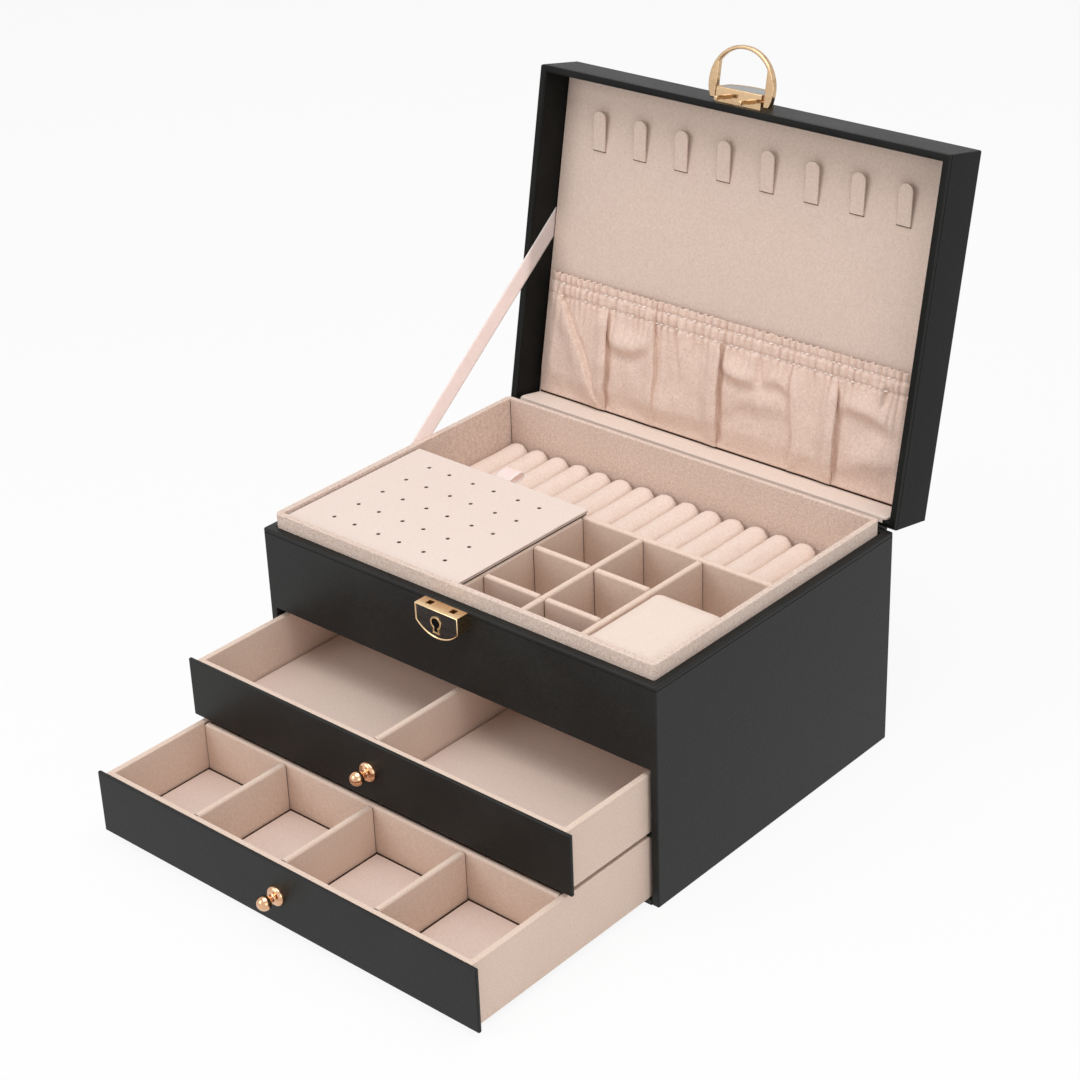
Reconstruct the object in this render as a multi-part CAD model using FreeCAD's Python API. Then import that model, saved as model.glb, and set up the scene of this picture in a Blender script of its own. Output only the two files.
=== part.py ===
import FreeCAD, Part
import math
import os

os.makedirs("parts", exist_ok=True)
V = FreeCAD.Vector

# Travel jewellery box, in millimetres: x to the right, y to the back, z up.
# The origin is the middle of the case's resting face.

# Case
case_width = 230.0
case_depth = 170.0
case_height = 109.0          # resting face to the black rim
case_wall = 4.0
base_thickness = 2.6
rail_height = 41.3           # front rail that carries the lock
edge_round = 1.2             # wrapped outer edges
rim_round = 0.8              # smaller wrapped edges

# Hinge line along the back of the rim
lid_open_angle = 101.0
hinge_bead_radius = 1.1
hinge_bead_relief = 0.4      # room for the bead in the lid's edge

# Lid, described as if it were shut
lid_height = 27.0
lid_board = 4.0
lid_wall = 3.4
lid_rim_gap = 0.3
lining_thickness = 5.5
hinge_liner_thickness = 1.3
hinge_liner_end_gap = 1.6
hinge_liner_edge_gap = 0.2
hinge_liner_corner = 4.0
hinge_liner_clearance = 0.3

# Velvet neck that stands above the rim, and the tray inside it
neck_rise = 7.0
neck_wall = 3.0
neck_back_wall = 2.0
neck_round = 1.2
tray_floor_lift = 0.3        # tray floor above the rail's lower edge
tray_floor_thickness = 3.0
tray_wall = 3.2
tray_wall_drop = 4.2         # tray walls below the neck's top
tray_wall_round = 1.25
partition_y = 9.0
grid_left_x = -1.0
grid_column = 33.5
front_cell_depth = 17.2
middle_cell_depth = 29.9
lap_clearance = 0.1

# Ring rolls
roll_count = 16
roll_gap = 0.2
roll_height = 24.3
roll_end_gap = 0.6

# Pin board with its ribbon pull
board_thickness = 2.6
board_seat_gap = 0.1
board_edge_gap = 0.7
board_overhang_back = 0.4
board_round = 0.8
pin_hole_radius = 0.65
pin_hole_sides = 5
pin_columns = 3              # pairs of holes across the board
pin_rows = 5
pin_pair = 13.0
pin_column_pitch = 28.0
pin_row_pitch = 15.75
pull_width = 9.6
pull_length = 11.0
pull_radius = 2.2
pull_thickness = 0.5

# Pillow
pillow_side_gap = 0.6
pillow_length = 52.0
pillow_lift = 0.2
pillow_crown = 1.6           # crown above the tray walls
pillow_corner = 3.5
pillow_draw_in = 1.2
pillow_shoulder = 5.0
pillow_crown_width = 9.0
pillow_crown_steps = 4

# Drawers
shelf_thickness = 1.4
running_clearance = 0.5
top_clearance = 0.4
side_clearance = 1.4
front_reveal = 0.3
front_inset = 1.75           # drawer fronts inside the case's sides
front_thickness = 1.8
front_gap = 0.2              # shut front to the case's edge
front_round = 0.6
fronts_spacing = 1.4
lower_front_height = 31.2
upper_front_height = 29.6
drawer_wall = 3.0
drawer_inner_front = 2.8
drawer_wall_round = 1.1
drawer_back_clearance = 6.2
drawer_lip = 0.5             # upper front above its box
drawer_floor = 2.0
drawer_divider = 3.2
divider_drop = 0.4
upper_pad = 2.9
lower_pad = 4.7
pad_gap = 0.4
pad_bevel = 0.9
upper_pulled = 51.1
lower_pulled = 108.8
lower_cross_offset = 52.4    # clear depth of the front cells
lower_cell_pitch = 54.0

# Knobs
knob_flange_radius = 4.7
knob_flange_edge = 1.4
knob_flange_rise = 2.5
knob_neck_radius = 1.7
knob_neck_length = 4.3
knob_ball_radius = 3.4
knob_ball_facets = 4
knob_shank_depth = 4.0
knob_shank_clearance = 0.1

# Lock plate on the rail and hasp on the lid
plate_depth = 7.3
plate_rim = 0.95
plate_recess = 0.8
inlay_thickness = 0.7
inlay_clearance = 0.05
lock_width = 25.0
lock_rim_drop = 0.7          # lock top below the case's rim
lock_shoulder = 8.1
lock_drop = 14.0
lock_top_plate = 1.2
lock_side_plate = 1.4
lock_floor_plate = 2.4       # solid below the bolt's chamber, above the round end
keyhole_radius = 2.45
keyhole_waist = 1.7
keyhole_foot = 2.5
keyhole_centre_drop = 6.1
keyhole_foot_drop = 10.65
keyhole_rim_width = 0.75
keyhole_rim_proud = 0.4
hasp_width = 25.4
hasp_rise = 3.6              # hasp's straight edge above the case's rim
hasp_shoulder = 10.3
hasp_height = 16.2
prong_spacing = 13.6
prong_side = 1.9
prong_back_gap = 2.2
prong_length = 8.2
prong_notch_depth = 0.8
prong_notch_height = 1.4
prong_notch_lift = 0.9
prong_clearance = 0.6
bolt_thickness = 0.9
bolt_end_gap = 1.2
bolt_side_gap = 0.3
talon_width = 3.0
talon_drop = 2.2

# Ring handle, standing straight out from the lid's front
ring_thickness = 3.0
ring_radius = 18.2
ring_arc_width = 1.8         # radial width at the top of the ring
ring_hasp_gap = 0.8
ring_centre_out = 9.2        # ring centre in front of the lid
ring_leg_gap = 1.5
ring_pivot_out = 4.0
ring_pivot_rise = 2.0        # pivot above the hasp's straight edge
ring_pin_radius = 0.9
ring_pin_length = 4.2
ring_pin_clearance = 0.06
ring_round = 0.6

# Necklace hooks
hook_count = 8
hook_pitch = 25.0
hook_width = 7.3
hook_length = 19.0
hook_thickness = 1.0
hook_base_y = -47.5
hook_angle = 7.3

# Gathered pocket, measured in the shut lid's plane
pocket_side_gap = 1.6
pocket_top_y = 17.0
pocket_gather_y = 30.0
pocket_hem_gap = 2.6
pocket_back_gap = 0.3        # cloth off the lining at its edges
cloth_thickness = 0.9
ruffle_count = 10
ruffle_height = 0.8
ruffle_stand = 0.5           # ruffled band off the lining
gather_standoff = 1.6
belly_standoff = 3.2
pocket_rows = 5              # lofted strips from the gather to the hem
gather_fullness = 0.02
belly_fullness = 0.045
hem_fullness = 0.012

# Fold creases of the pocket, each as its x at the gather and at the hem
far_left_fold = (-94.6, -74.0)
left_fold = (-70.5, -68.1)
inner_left_fold = (-42.5, -36.5)
centre_fold = (-1.7, 1.4)
inner_right_fold = (41.2, 44.5)
right_fold = (65.8, 67.6)

# Ribbon stay on the left
stay_width = 9.6
stay_thickness = 0.3
stay_neck_y = 17.1           # where it passes the neck's top
stay_lid_y = -7.0            # where it enters the lid's lining, lid shut
stay_end_gap = 0.2

# Places that follow from the sizes above
half_width = case_width / 2
front_y = -case_depth / 2
back_y = case_depth / 2
inner_x = half_width - case_wall
inner_front = front_y + case_wall
inner_back = back_y - case_wall
hinge = V(0, back_y, case_height)
ring_inner_radius = ring_radius - ring_arc_width
rail_bottom = case_height - rail_height
tray_bottom = rail_bottom + tray_floor_lift
tray_top = tray_bottom + tray_floor_thickness
neck_top = case_height + neck_rise
neck_x = inner_x - neck_wall
neck_front = inner_front + neck_wall
neck_back_outer = back_y - lid_wall - hinge_liner_thickness - hinge_liner_clearance
neck_back = neck_back_outer - neck_back_wall
wall_top = neck_top - tray_wall_drop
partition_front = partition_y - tray_wall / 2
partition_back = partition_y + tray_wall / 2
grid_middle_x = grid_left_x + grid_column
grid_right_x = grid_middle_x + grid_column
cross_wall_front_y = neck_front + front_cell_depth + tray_wall / 2
cross_wall_back_y = cross_wall_front_y + middle_cell_depth + tray_wall

lid_top_z = case_height + lid_height
lid_inner_z = lid_top_z - lid_board
lining_z = lid_inner_z - lining_thickness
lid_rim_z = case_height + lid_rim_gap
lid_inner_x = half_width - lid_wall
lid_inner_front = front_y + lid_wall
lid_inner_back = back_y - lid_wall

lower_front_bottom = base_thickness + front_reveal
lower_front_top = lower_front_bottom + lower_front_height
upper_front_bottom = lower_front_top + fronts_spacing
upper_front_top = upper_front_bottom + upper_front_height
shelf_top = (lower_front_top + upper_front_bottom + shelf_thickness) / 2
shelf_bottom = shelf_top - shelf_thickness
drawer_half = inner_x - side_clearance
drawer_front_y = front_y - front_gap
drawer_back_y = inner_back - drawer_back_clearance

lock_top = case_height - lock_rim_drop
plate_face = front_y - plate_depth
recess_floor = plate_face + plate_recess
hasp_z = case_height + hasp_rise
prong_y = front_y - prong_back_gap - prong_side / 2
notch_bottom = hasp_z - prong_length + prong_notch_lift
notch_top = notch_bottom + prong_notch_height


def block(x0, x1, y0, y1, z0, z1):
    return Part.makeBox(x1 - x0, y1 - y0, z1 - z0, V(x0, y0, z0))


def line(a, b):
    return Part.LineSegment(a, b).toShape()


def arc(a, middle, b):
    return Part.Arc(a, middle, b).toShape()


def near(a, b):
    return abs(a - b) < 1e-4


def rounded(shape, radius, chosen):
    edges = [edge for edge in shape.Edges if chosen(edge.CenterOfMass, edge.BoundBox)]
    return shape.makeFillet(radius, edges)


def bevelled(shape, width, chosen):
    edges = [edge for edge in shape.Edges if chosen(edge.CenterOfMass, edge.BoundBox)]
    return shape.makeChamfer(width, edges)


def round_top(shape, radius):
    box = shape.BoundBox
    runs_x = box.XLength > box.YLength

    def long_top(centre, edge_box):
        flat = edge_box.YLength if runs_x else edge_box.XLength
        return near(centre.z, box.ZMax) and near(flat, 0)

    return rounded(shape, radius, long_top)


def round_lid(shape, radius):
    box = shape.BoundBox
    return rounded(shape, radius, lambda c, e: near(c.z, box.ZMax))


def save(name, *solids):
    shape = solids[0] if len(solids) == 1 else Part.makeCompound(list(solids))
    shape.exportStep("parts/" + name + ".step")


def opened(shape):
    turned = shape.copy()
    turned.rotate(hinge, V(-1, 0, 0), lid_open_angle)
    return turned


def save_lid(name, *solids):
    save(name, *[opened(solid) for solid in solids])


# Shield outline of the lock and the hasp: one straight edge, two short sides, a round end

def shield_face(half, flat_z, shoulder, drop, way, y):
    a = V(-half, y, flat_z)
    b = V(half, y, flat_z)
    c = V(half, y, flat_z + way * shoulder)
    d = V(-half, y, flat_z + way * shoulder)
    tip = V(0, y, flat_z + way * drop)
    return Part.Face(Part.Wire([line(a, b), line(b, c), arc(c, tip, d), line(d, a)]))


def shield(half, flat_z, shoulder, drop, way, y, depth, inset=0.0):
    sag = drop - shoulder
    radius = (half * half + sag * sag) / (2 * sag)
    reach = math.sqrt((radius - inset) ** 2 - (half - inset) ** 2)
    inner_shoulder = drop - radius + reach - inset
    face = shield_face(half - inset, flat_z + way * inset, inner_shoulder, drop - 2 * inset, way, y)
    return face.extrude(V(0, -depth, 0))


# Carcass of the case

def make_case():
    base = block(-inner_x, inner_x, front_y, back_y, 0, base_thickness)
    save("base_panel", base)
    for side, name in ((-1, "left_panel"), (1, "right_panel")):
        outer = side * half_width
        inner = side * inner_x
        panel = block(min(outer, inner), max(outer, inner), front_y, back_y, 0, case_height)
        save(name, rounded(panel, edge_round, lambda c, e: near(c.x, outer)))
    bead = Part.makeCylinder(hinge_bead_radius, 2 * inner_x, V(-inner_x, back_y, case_height), V(1, 0, 0))
    back = block(-inner_x, inner_x, inner_back, back_y, base_thickness, case_height)
    save("back_panel", back.cut(bead))
    save("hinge_bead", bead)
    rail = block(-inner_x, inner_x, front_y, inner_front, rail_bottom, case_height)
    save("front_rail", rounded(rail, rim_round, lambda c, e: near(c.y, front_y) and near(c.x, 0)))
    shelf = block(-inner_x, inner_x, front_y + rim_round, inner_back, shelf_bottom, shelf_top)
    save("drawer_shelf", shelf)


# Tray: floor, neck, partition and the crossing cell walls

def lap_cuts(xs, ys, z0, z1):
    half = tray_wall / 2 + lap_clearance
    return [block(x - half, x + half, y - half, y + half, z0, z1) for x in xs for y in ys]


def make_tray():
    save("tray_floor", block(-inner_x, inner_x, inner_front, inner_back, tray_bottom, tray_top))
    front = block(-inner_x, inner_x, inner_front, neck_front, tray_top, neck_top)
    save("neck_front", round_top(front, neck_round))
    back = block(-inner_x, inner_x, neck_back, neck_back_outer, tray_top, neck_top)
    save("neck_back", round_top(back, min(neck_round, 0.4 * neck_back_wall)))
    left = block(-inner_x, -neck_x, neck_front, neck_back, tray_top, neck_top)
    save("neck_left", round_top(left, neck_round))
    right = block(neck_x, inner_x, neck_front, neck_back, tray_top, neck_top)
    save("neck_right", round_top(right, neck_round))

    partition = block(-neck_x, neck_x, partition_front, partition_back, tray_top, wall_top)
    save("ring_partition", round_top(partition, tray_wall_round))
    half_wall = tray_wall / 2
    half_way = (tray_top + wall_top) / 2
    cross_ys = (cross_wall_back_y, cross_wall_front_y)
    for x, name in ((grid_left_x, "cell_wall_left"), (grid_right_x, "cell_wall_right")):
        wall = block(x - half_wall, x + half_wall, neck_front, partition_front, tray_top, wall_top)
        save(name, round_top(wall, tray_wall_round))
    middle = block(
        grid_middle_x - half_wall, grid_middle_x + half_wall, neck_front, partition_front, tray_top, wall_top)
    middle = round_top(middle, tray_wall_round)
    save("cell_wall_middle", middle.cut(lap_cuts([grid_middle_x], cross_ys, half_way, neck_top)))
    for y, name in ((cross_wall_back_y, "cross_wall_back"), (cross_wall_front_y, "cross_wall_front")):
        left = grid_left_x + half_wall
        right = grid_right_x - half_wall
        wall = block(left, right, y - half_wall, y + half_wall, tray_top, wall_top)
        wall = round_top(wall, tray_wall_round)
        save(name, wall.cut(lap_cuts([grid_middle_x], [y], tray_bottom, half_way + lap_clearance)))


# Foam ring rolls: upright slabs with half-round tops, side by side

def make_rolls():
    pitch = 2 * neck_x / roll_count
    radius = (pitch - roll_gap) / 2
    start = partition_back + roll_end_gap
    end = neck_back - roll_end_gap
    spring_z = tray_top + roll_height - radius
    top_z = tray_top + roll_height
    slant = radius * math.sqrt(0.5)
    rolls = []
    for i in range(roll_count):
        x = -neck_x + (i + 0.5) * pitch
        left = V(x - radius, start, spring_z)
        top = V(x, start, top_z)
        right = V(x + radius, start, spring_z)
        foot_right = V(x + radius, start, tray_top)
        foot_left = V(x - radius, start, tray_top)
        wire = Part.Wire([
            line(foot_left, left),
            arc(left, V(x - slant, start, spring_z + slant), top),
            arc(top, V(x + slant, start, spring_z + slant), right),
            line(right, foot_right),
            line(foot_right, foot_left),
        ])
        rolls.append(Part.Face(wire).extrude(V(0, end - start, 0)))
    save("ring_rolls", *rolls)


# Pin board that lies on the tray walls, with its loop of ribbon

def prick_outline(x, y, z):
    corners = []
    for i in range(pin_hole_sides + 1):
        turn = math.radians(360) * (i % pin_hole_sides) / pin_hole_sides
        corners.append(V(x + pin_hole_radius * math.cos(turn), y + pin_hole_radius * math.sin(turn), z))
    return corners


def make_board():
    left = -neck_x + board_edge_gap
    right = grid_left_x
    front = neck_front + board_edge_gap
    back = partition_back + board_overhang_back
    bottom = wall_top + board_seat_gap
    top = bottom + board_thickness
    board = block(left, right, front, back, bottom, top)
    board = rounded(board, board_round, lambda c, e: near(c.z, top))
    middle_x = (left + right) / 2
    middle_y = (front + back) / 2
    holes = []
    for column in range(pin_columns):
        pair_x = middle_x + (column - (pin_columns - 1) / 2) * pin_column_pitch
        for x in (pair_x - pin_pair / 2, pair_x + pin_pair / 2):
            for row in range(pin_rows):
                y = middle_y + (row - (pin_rows - 1) / 2) * pin_row_pitch
                outline = Part.makePolygon(prick_outline(x, y, bottom))
                holes.append(Part.Face(outline).extrude(V(0, 0, board_thickness)))
    save("pin_board", board.cut(holes))

    def loop_face(inset):
        x = middle_x - pull_width / 2
        z = bottom + board_thickness / 2
        radius = pull_radius - inset
        bend = back + pull_length - pull_radius
        foot = back + 2 * inset
        pinch = board_thickness / 4 - inset / 2
        lower = V(x, foot, z - pinch)
        upper = V(x, foot, z + pinch)
        low_bend = V(x, bend, z - radius)
        high_bend = V(x, bend, z + radius)
        tip = V(x, bend + radius, z)
        return Part.Face(Part.Wire([
            line(lower, low_bend),
            arc(low_bend, tip, high_bend),
            line(high_bend, upper),
            line(upper, lower),
        ]))

    loop = loop_face(0).extrude(V(pull_width, 0, 0))
    save("pin_board_pull", loop.cut(loop_face(pull_thickness).extrude(V(pull_width, 0, 0))))


# Pillow: lofted through rounded outlines, full at the waist, crowned on top

def rounded_outline(x0, x1, y0, y1, z, corner):
    slant = corner * (1 - math.sqrt(0.5))
    return Part.Wire([
        line(V(x0 + corner, y0, z), V(x1 - corner, y0, z)),
        arc(V(x1 - corner, y0, z), V(x1 - slant, y0 + slant, z), V(x1, y0 + corner, z)),
        line(V(x1, y0 + corner, z), V(x1, y1 - corner, z)),
        arc(V(x1, y1 - corner, z), V(x1 - slant, y1 - slant, z), V(x1 - corner, y1, z)),
        line(V(x1 - corner, y1, z), V(x0 + corner, y1, z)),
        arc(V(x0 + corner, y1, z), V(x0 + slant, y1 - slant, z), V(x0, y1 - corner, z)),
        line(V(x0, y1 - corner, z), V(x0, y0 + corner, z)),
        arc(V(x0, y0 + corner, z), V(x0 + slant, y0 + slant, z), V(x0 + corner, y0, z)),
    ])


def make_pillow():
    left = grid_right_x + tray_wall / 2 + pillow_side_gap
    right = neck_x - pillow_side_gap
    front = neck_front + pillow_side_gap
    back = front + pillow_length
    bottom = tray_top + pillow_lift
    top = wall_top + pillow_crown
    shoulder_z = top - pillow_shoulder
    levels = [
        (bottom, pillow_draw_in),
        (bottom + pillow_shoulder, 0.3 * pillow_draw_in),
        ((bottom + shoulder_z) / 2, 0.0),
    ]
    for step in range(pillow_crown_steps + 1):
        lean = math.radians(90) * step / pillow_crown_steps
        inset = 0.3 * pillow_draw_in + pillow_crown_width * (1 - math.cos(lean))
        levels.append((shoulder_z + pillow_shoulder * math.sin(lean), inset))
    outlines = []
    for z, inset in levels:
        outlines.append(rounded_outline(
            left + inset, right - inset, front + inset, back - inset, z, pillow_corner))
    save("pillow", Part.makeLoft(outlines, True, True))


# Drawers: an overlay front, a velvet box behind it, pads in the cells

def knob_at(z):
    face = drawer_front_y - front_thickness
    ball_y = face - knob_neck_length - math.sqrt(knob_ball_radius ** 2 - knob_neck_radius ** 2)
    tip = V(0, ball_y - knob_ball_radius, z)
    neck_end = V(knob_neck_radius, face - knob_neck_length, z)
    first = math.asin(knob_neck_radius / knob_ball_radius)
    turns = [first + (math.pi - first) * i / knob_ball_facets for i in range(1, knob_ball_facets)]
    points = [neck_end]
    for turn in turns:
        points.append(V(knob_ball_radius * math.sin(turn), ball_y + knob_ball_radius * math.cos(turn), z))
    points.append(tip)
    ball = [line(points[i], points[i + 1]) for i in range(knob_ball_facets)]
    rim = V(knob_flange_radius, face - knob_flange_edge, z)
    collar = V(knob_neck_radius, face - knob_flange_rise, z)
    shank_end = face + knob_shank_depth
    profile = Part.Wire([
        line(V(0, shank_end, z), V(knob_neck_radius, shank_end, z)),
        line(V(knob_neck_radius, shank_end, z), V(knob_neck_radius, face, z)),
        line(V(knob_neck_radius, face, z), V(knob_flange_radius, face, z)),
        line(V(knob_flange_radius, face, z), rim),
        line(rim, collar),
        line(collar, neck_end),
        *ball,
        line(tip, V(0, shank_end, z)),
    ])
    return Part.Face(profile).revolve(V(0, 0, z), V(0, 1, 0), 360)


def make_drawer(name, pulled, front_z, box_z, pad, cross_depth, divider_xs):
    front_bottom, front_top = front_z
    box_bottom, box_top = box_z

    def save_drawer(part, *solids):
        moved = [solid.translated(V(0, -pulled, 0)) for solid in solids]
        save(name + "_" + part, *moved)

    face = drawer_front_y - front_thickness
    knob_z = (front_bottom + front_top) / 2
    shank_hole = Part.makeCylinder(
        knob_neck_radius + knob_shank_clearance, knob_shank_depth + knob_shank_clearance,
        V(0, face, knob_z), V(0, 1, 0))
    panel_half = half_width - front_inset
    front = block(-panel_half, panel_half, face, drawer_front_y, front_bottom, front_top)
    front = rounded(front, front_round, lambda c, e: near(c.y, face))
    save_drawer("front", front.cut(shank_hole))
    save_drawer("knob", knob_at(knob_z))

    cell_x = drawer_half - drawer_wall
    cell_front = drawer_front_y + drawer_inner_front
    cell_back = drawer_back_y - drawer_wall
    sides = []
    for x0, x1 in ((-drawer_half, -cell_x), (cell_x, drawer_half)):
        side = block(x0, x1, drawer_front_y, drawer_back_y, box_bottom, box_top)
        sides.append(round_top(side, drawer_wall_round))
    save_drawer("sides", *sides)
    inner = block(-cell_x, cell_x, drawer_front_y, cell_front, box_bottom, box_top)
    save_drawer("inner_front", round_top(inner, drawer_wall_round).cut(shank_hole))
    back = block(-cell_x, cell_x, cell_back, drawer_back_y, box_bottom, box_top)
    save_drawer("back", round_top(back, drawer_wall_round))
    floor_top = box_bottom + drawer_floor
    save_drawer("floor", block(-cell_x, cell_x, cell_front, cell_back, box_bottom, floor_top))

    divider_top = box_top - divider_drop
    half = drawer_divider / 2
    divider_round = 0.4 * drawer_divider
    split_y = cell_back
    rows = []
    if cross_depth:
        split_y = cell_front + cross_depth
        cross_back = split_y + drawer_divider
        cross = block(-cell_x, cell_x, split_y, cross_back, floor_top, divider_top)
        save_drawer("cross_wall", round_top(cross, divider_round))
        rows.append((-cell_x, cell_x, cross_back, cell_back))
    dividers = []
    edge = -cell_x
    for x in divider_xs:
        divider = block(x - half, x + half, cell_front, split_y, floor_top, divider_top)
        dividers.append(round_top(divider, divider_round))
        rows.append((edge, x - half, cell_front, split_y))
        edge = x + half
    rows.append((edge, cell_x, cell_front, split_y))
    save_drawer("dividers", *dividers)
    pads = []
    for x0, x1, y0, y1 in rows:
        cushion = block(
            x0 + pad_gap, x1 - pad_gap, y0 + pad_gap, y1 - pad_gap, floor_top, floor_top + pad)
        pads.append(bevelled(cushion, pad_bevel, lambda c, e: near(c.z, floor_top + pad)))
    save_drawer("pads", *pads)


# Lock on the rail: plate with its inlay, keyhole rim, and the sliding bolt inside

def keyhole_solid(grow, y, depth):
    centre_z = lock_top - keyhole_centre_drop
    foot_z = lock_top - keyhole_foot_drop - grow
    foot = keyhole_foot / 2 + grow
    waist = keyhole_waist / 2 + grow
    round_part = Part.makeCylinder(keyhole_radius + grow, depth, V(0, y, centre_z), V(0, -1, 0))
    corners = [
        V(-foot, y, foot_z),
        V(foot, y, foot_z),
        V(waist, y, centre_z),
        V(-waist, y, centre_z),
    ]
    edges = [line(corners[i], corners[(i + 1) % 4]) for i in range(4)]
    slot = Part.Face(Part.Wire(edges)).extrude(V(0, -depth, 0))
    return round_part.fuse(slot).removeSplitter()


def make_lock():
    half = lock_width / 2
    body = shield(half, lock_top, lock_shoulder, lock_drop, -1, front_y, plate_depth)
    recess = shield(half, lock_top, lock_shoulder, lock_drop, -1, recess_floor, plate_recess, plate_rim)
    chamber_half = half - lock_side_plate
    chamber_front = recess_floor + lock_top_plate
    chamber_bottom = lock_top - lock_shoulder - lock_floor_plate
    chamber_top = lock_top - lock_top_plate
    chamber = block(-chamber_half, chamber_half, chamber_front, front_y, chamber_bottom, chamber_top)
    half_hole = prong_side / 2 + prong_clearance
    holes = []
    for x in (-prong_spacing / 2, prong_spacing / 2):
        holes.append(block(
            x - half_hole, x + half_hole, prong_y - half_hole, prong_y + half_hole, chamber_bottom, lock_top))
    keyhole = keyhole_solid(0, chamber_front, plate_depth)
    save("lock_case", body.cut([recess, chamber, keyhole] + holes))

    rim = keyhole_solid(keyhole_rim_width, recess_floor, plate_recess + keyhole_rim_proud)
    save("keyhole_rim", rim.cut(keyhole))
    inlay_inset = plate_rim + inlay_clearance
    inlay = shield(half, lock_top, lock_shoulder, lock_drop, -1, recess_floor, inlay_thickness, inlay_inset)
    save("lock_inlay", inlay.cut(keyhole_solid(keyhole_rim_width + inlay_clearance, recess_floor, plate_depth)))

    # The bolt slides left; its two windows then hook into the notches of the prongs
    bolt_half = chamber_half - bolt_end_gap
    bolt_z = (notch_bottom + notch_top - bolt_thickness) / 2
    bolt_front = chamber_front + bolt_side_gap
    bolt_back = front_y - bolt_side_gap
    bolt = block(-bolt_half, bolt_half, bolt_front, bolt_back, bolt_z, bolt_z + bolt_thickness)
    talon = block(
        -talon_width / 2, talon_width / 2, bolt_front, bolt_front + bolt_thickness,
        bolt_z - talon_drop, bolt_z)
    windows = []
    for x in (-prong_spacing / 2, prong_spacing / 2):
        windows.append(block(
            x - half_hole, x + half_hole, prong_y - half_hole, prong_y + half_hole,
            bolt_z, bolt_z + bolt_thickness))
    save("lock_bolt", bolt.fuse(talon).removeSplitter().cut(windows))


# Lid: boards, padded lining, hinge liner

def make_lid():
    top = block(-half_width, half_width, front_y, back_y, lid_inner_z, lid_top_z)
    save_lid("lid_top", round_lid(top, edge_round))
    front = block(-half_width, half_width, front_y, lid_inner_front, lid_rim_z, lid_inner_z)
    save_lid("lid_front", rounded(front, rim_round, lambda c, e: near(c.y, front_y) and near(c.z, lid_rim_z)))
    back = block(-half_width, half_width, lid_inner_back, back_y, lid_rim_z, lid_inner_z)
    relief = Part.makeCylinder(
        hinge_bead_radius + hinge_bead_relief, case_width, V(-half_width, back_y, case_height), V(1, 0, 0))
    save_lid("lid_back", back.cut(relief))
    for side, name in ((-1, "lid_left"), (1, "lid_right")):
        outer = side * half_width
        inner = side * lid_inner_x
        wall = block(
            min(outer, inner), max(outer, inner), lid_inner_front, lid_inner_back, lid_rim_z, lid_inner_z)
        save_lid(name, rounded(wall, rim_round, lambda c, e: near(c.x, outer) and near(c.z, lid_rim_z)))
    lining = block(-lid_inner_x, lid_inner_x, lid_inner_front, lid_inner_back, lining_z, lid_inner_z)
    save_lid("lid_lining", lining)
    liner_x = lid_inner_x - hinge_liner_end_gap
    liner_bottom = lid_rim_z + hinge_liner_edge_gap
    liner_face = lid_inner_back - hinge_liner_thickness
    liner = block(-liner_x, liner_x, liner_face, lid_inner_back, liner_bottom, lining_z)
    save_lid("hinge_liner", rounded(
        liner, hinge_liner_corner,
        lambda c, e: near(e.ZLength, 0) and near(e.XLength, 0) and near(c.z, liner_bottom)))


# Necklace hooks: round-tipped tabs that lean out of the lining

def make_hooks():
    hooks = []
    half = hook_width / 2
    shoulder_y = hook_base_y - hook_length + half
    slant = half * math.sqrt(0.5)
    for i in range(hook_count):
        x = (i - (hook_count - 1) / 2) * hook_pitch
        tip = V(x, hook_base_y - hook_length, lining_z)
        left = V(x - half, shoulder_y, lining_z)
        right = V(x + half, shoulder_y, lining_z)
        base_left = V(x - half, hook_base_y, lining_z)
        base_right = V(x + half, hook_base_y, lining_z)
        outline = Part.Wire([
            line(base_left, base_right),
            line(base_right, right),
            arc(right, V(x + slant, shoulder_y - slant, lining_z), tip),
            arc(tip, V(x - slant, shoulder_y - slant, lining_z), left),
            line(left, base_left),
        ])
        hook = Part.Face(outline).extrude(V(0, 0, -hook_thickness))
        hook.rotate(V(x, hook_base_y, lining_z), V(1, 0, 0), hook_angle)
        hooks.append(hook)
    save_lid("necklace_hooks", *hooks)


# Gathered pocket: a ruffled elastic band over cloth that falls in folds

def ribbon_wire(outer, inner):
    closing = [line(outer[-1].Vertexes[-1].Point, inner[-1].Vertexes[-1].Point)]
    opening = [line(inner[0].Vertexes[0].Point, outer[0].Vertexes[0].Point)]
    return Part.Wire(Part.__sortEdges__(outer + closing + inner + opening))


def make_band():
    half = lid_inner_x - pocket_side_gap
    step = half / ruffle_count
    rest_z = lining_z - ruffle_stand - ruffle_height

    def wave(z):
        edges = []
        for i in range(2 * ruffle_count):
            x = -half + i * step
            swing = ruffle_height if i % 2 else -ruffle_height
            crest = V(x + step / 2, pocket_top_y, z + swing)
            edges.append(arc(V(x, pocket_top_y, z), crest, V(x + step, pocket_top_y, z)))
        return edges

    profile = ribbon_wire(wave(rest_z - cloth_thickness), wave(rest_z))
    save_lid("pocket_band", Part.Face(profile).extrude(V(0, pocket_gather_y - pocket_top_y, 0)))


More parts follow.
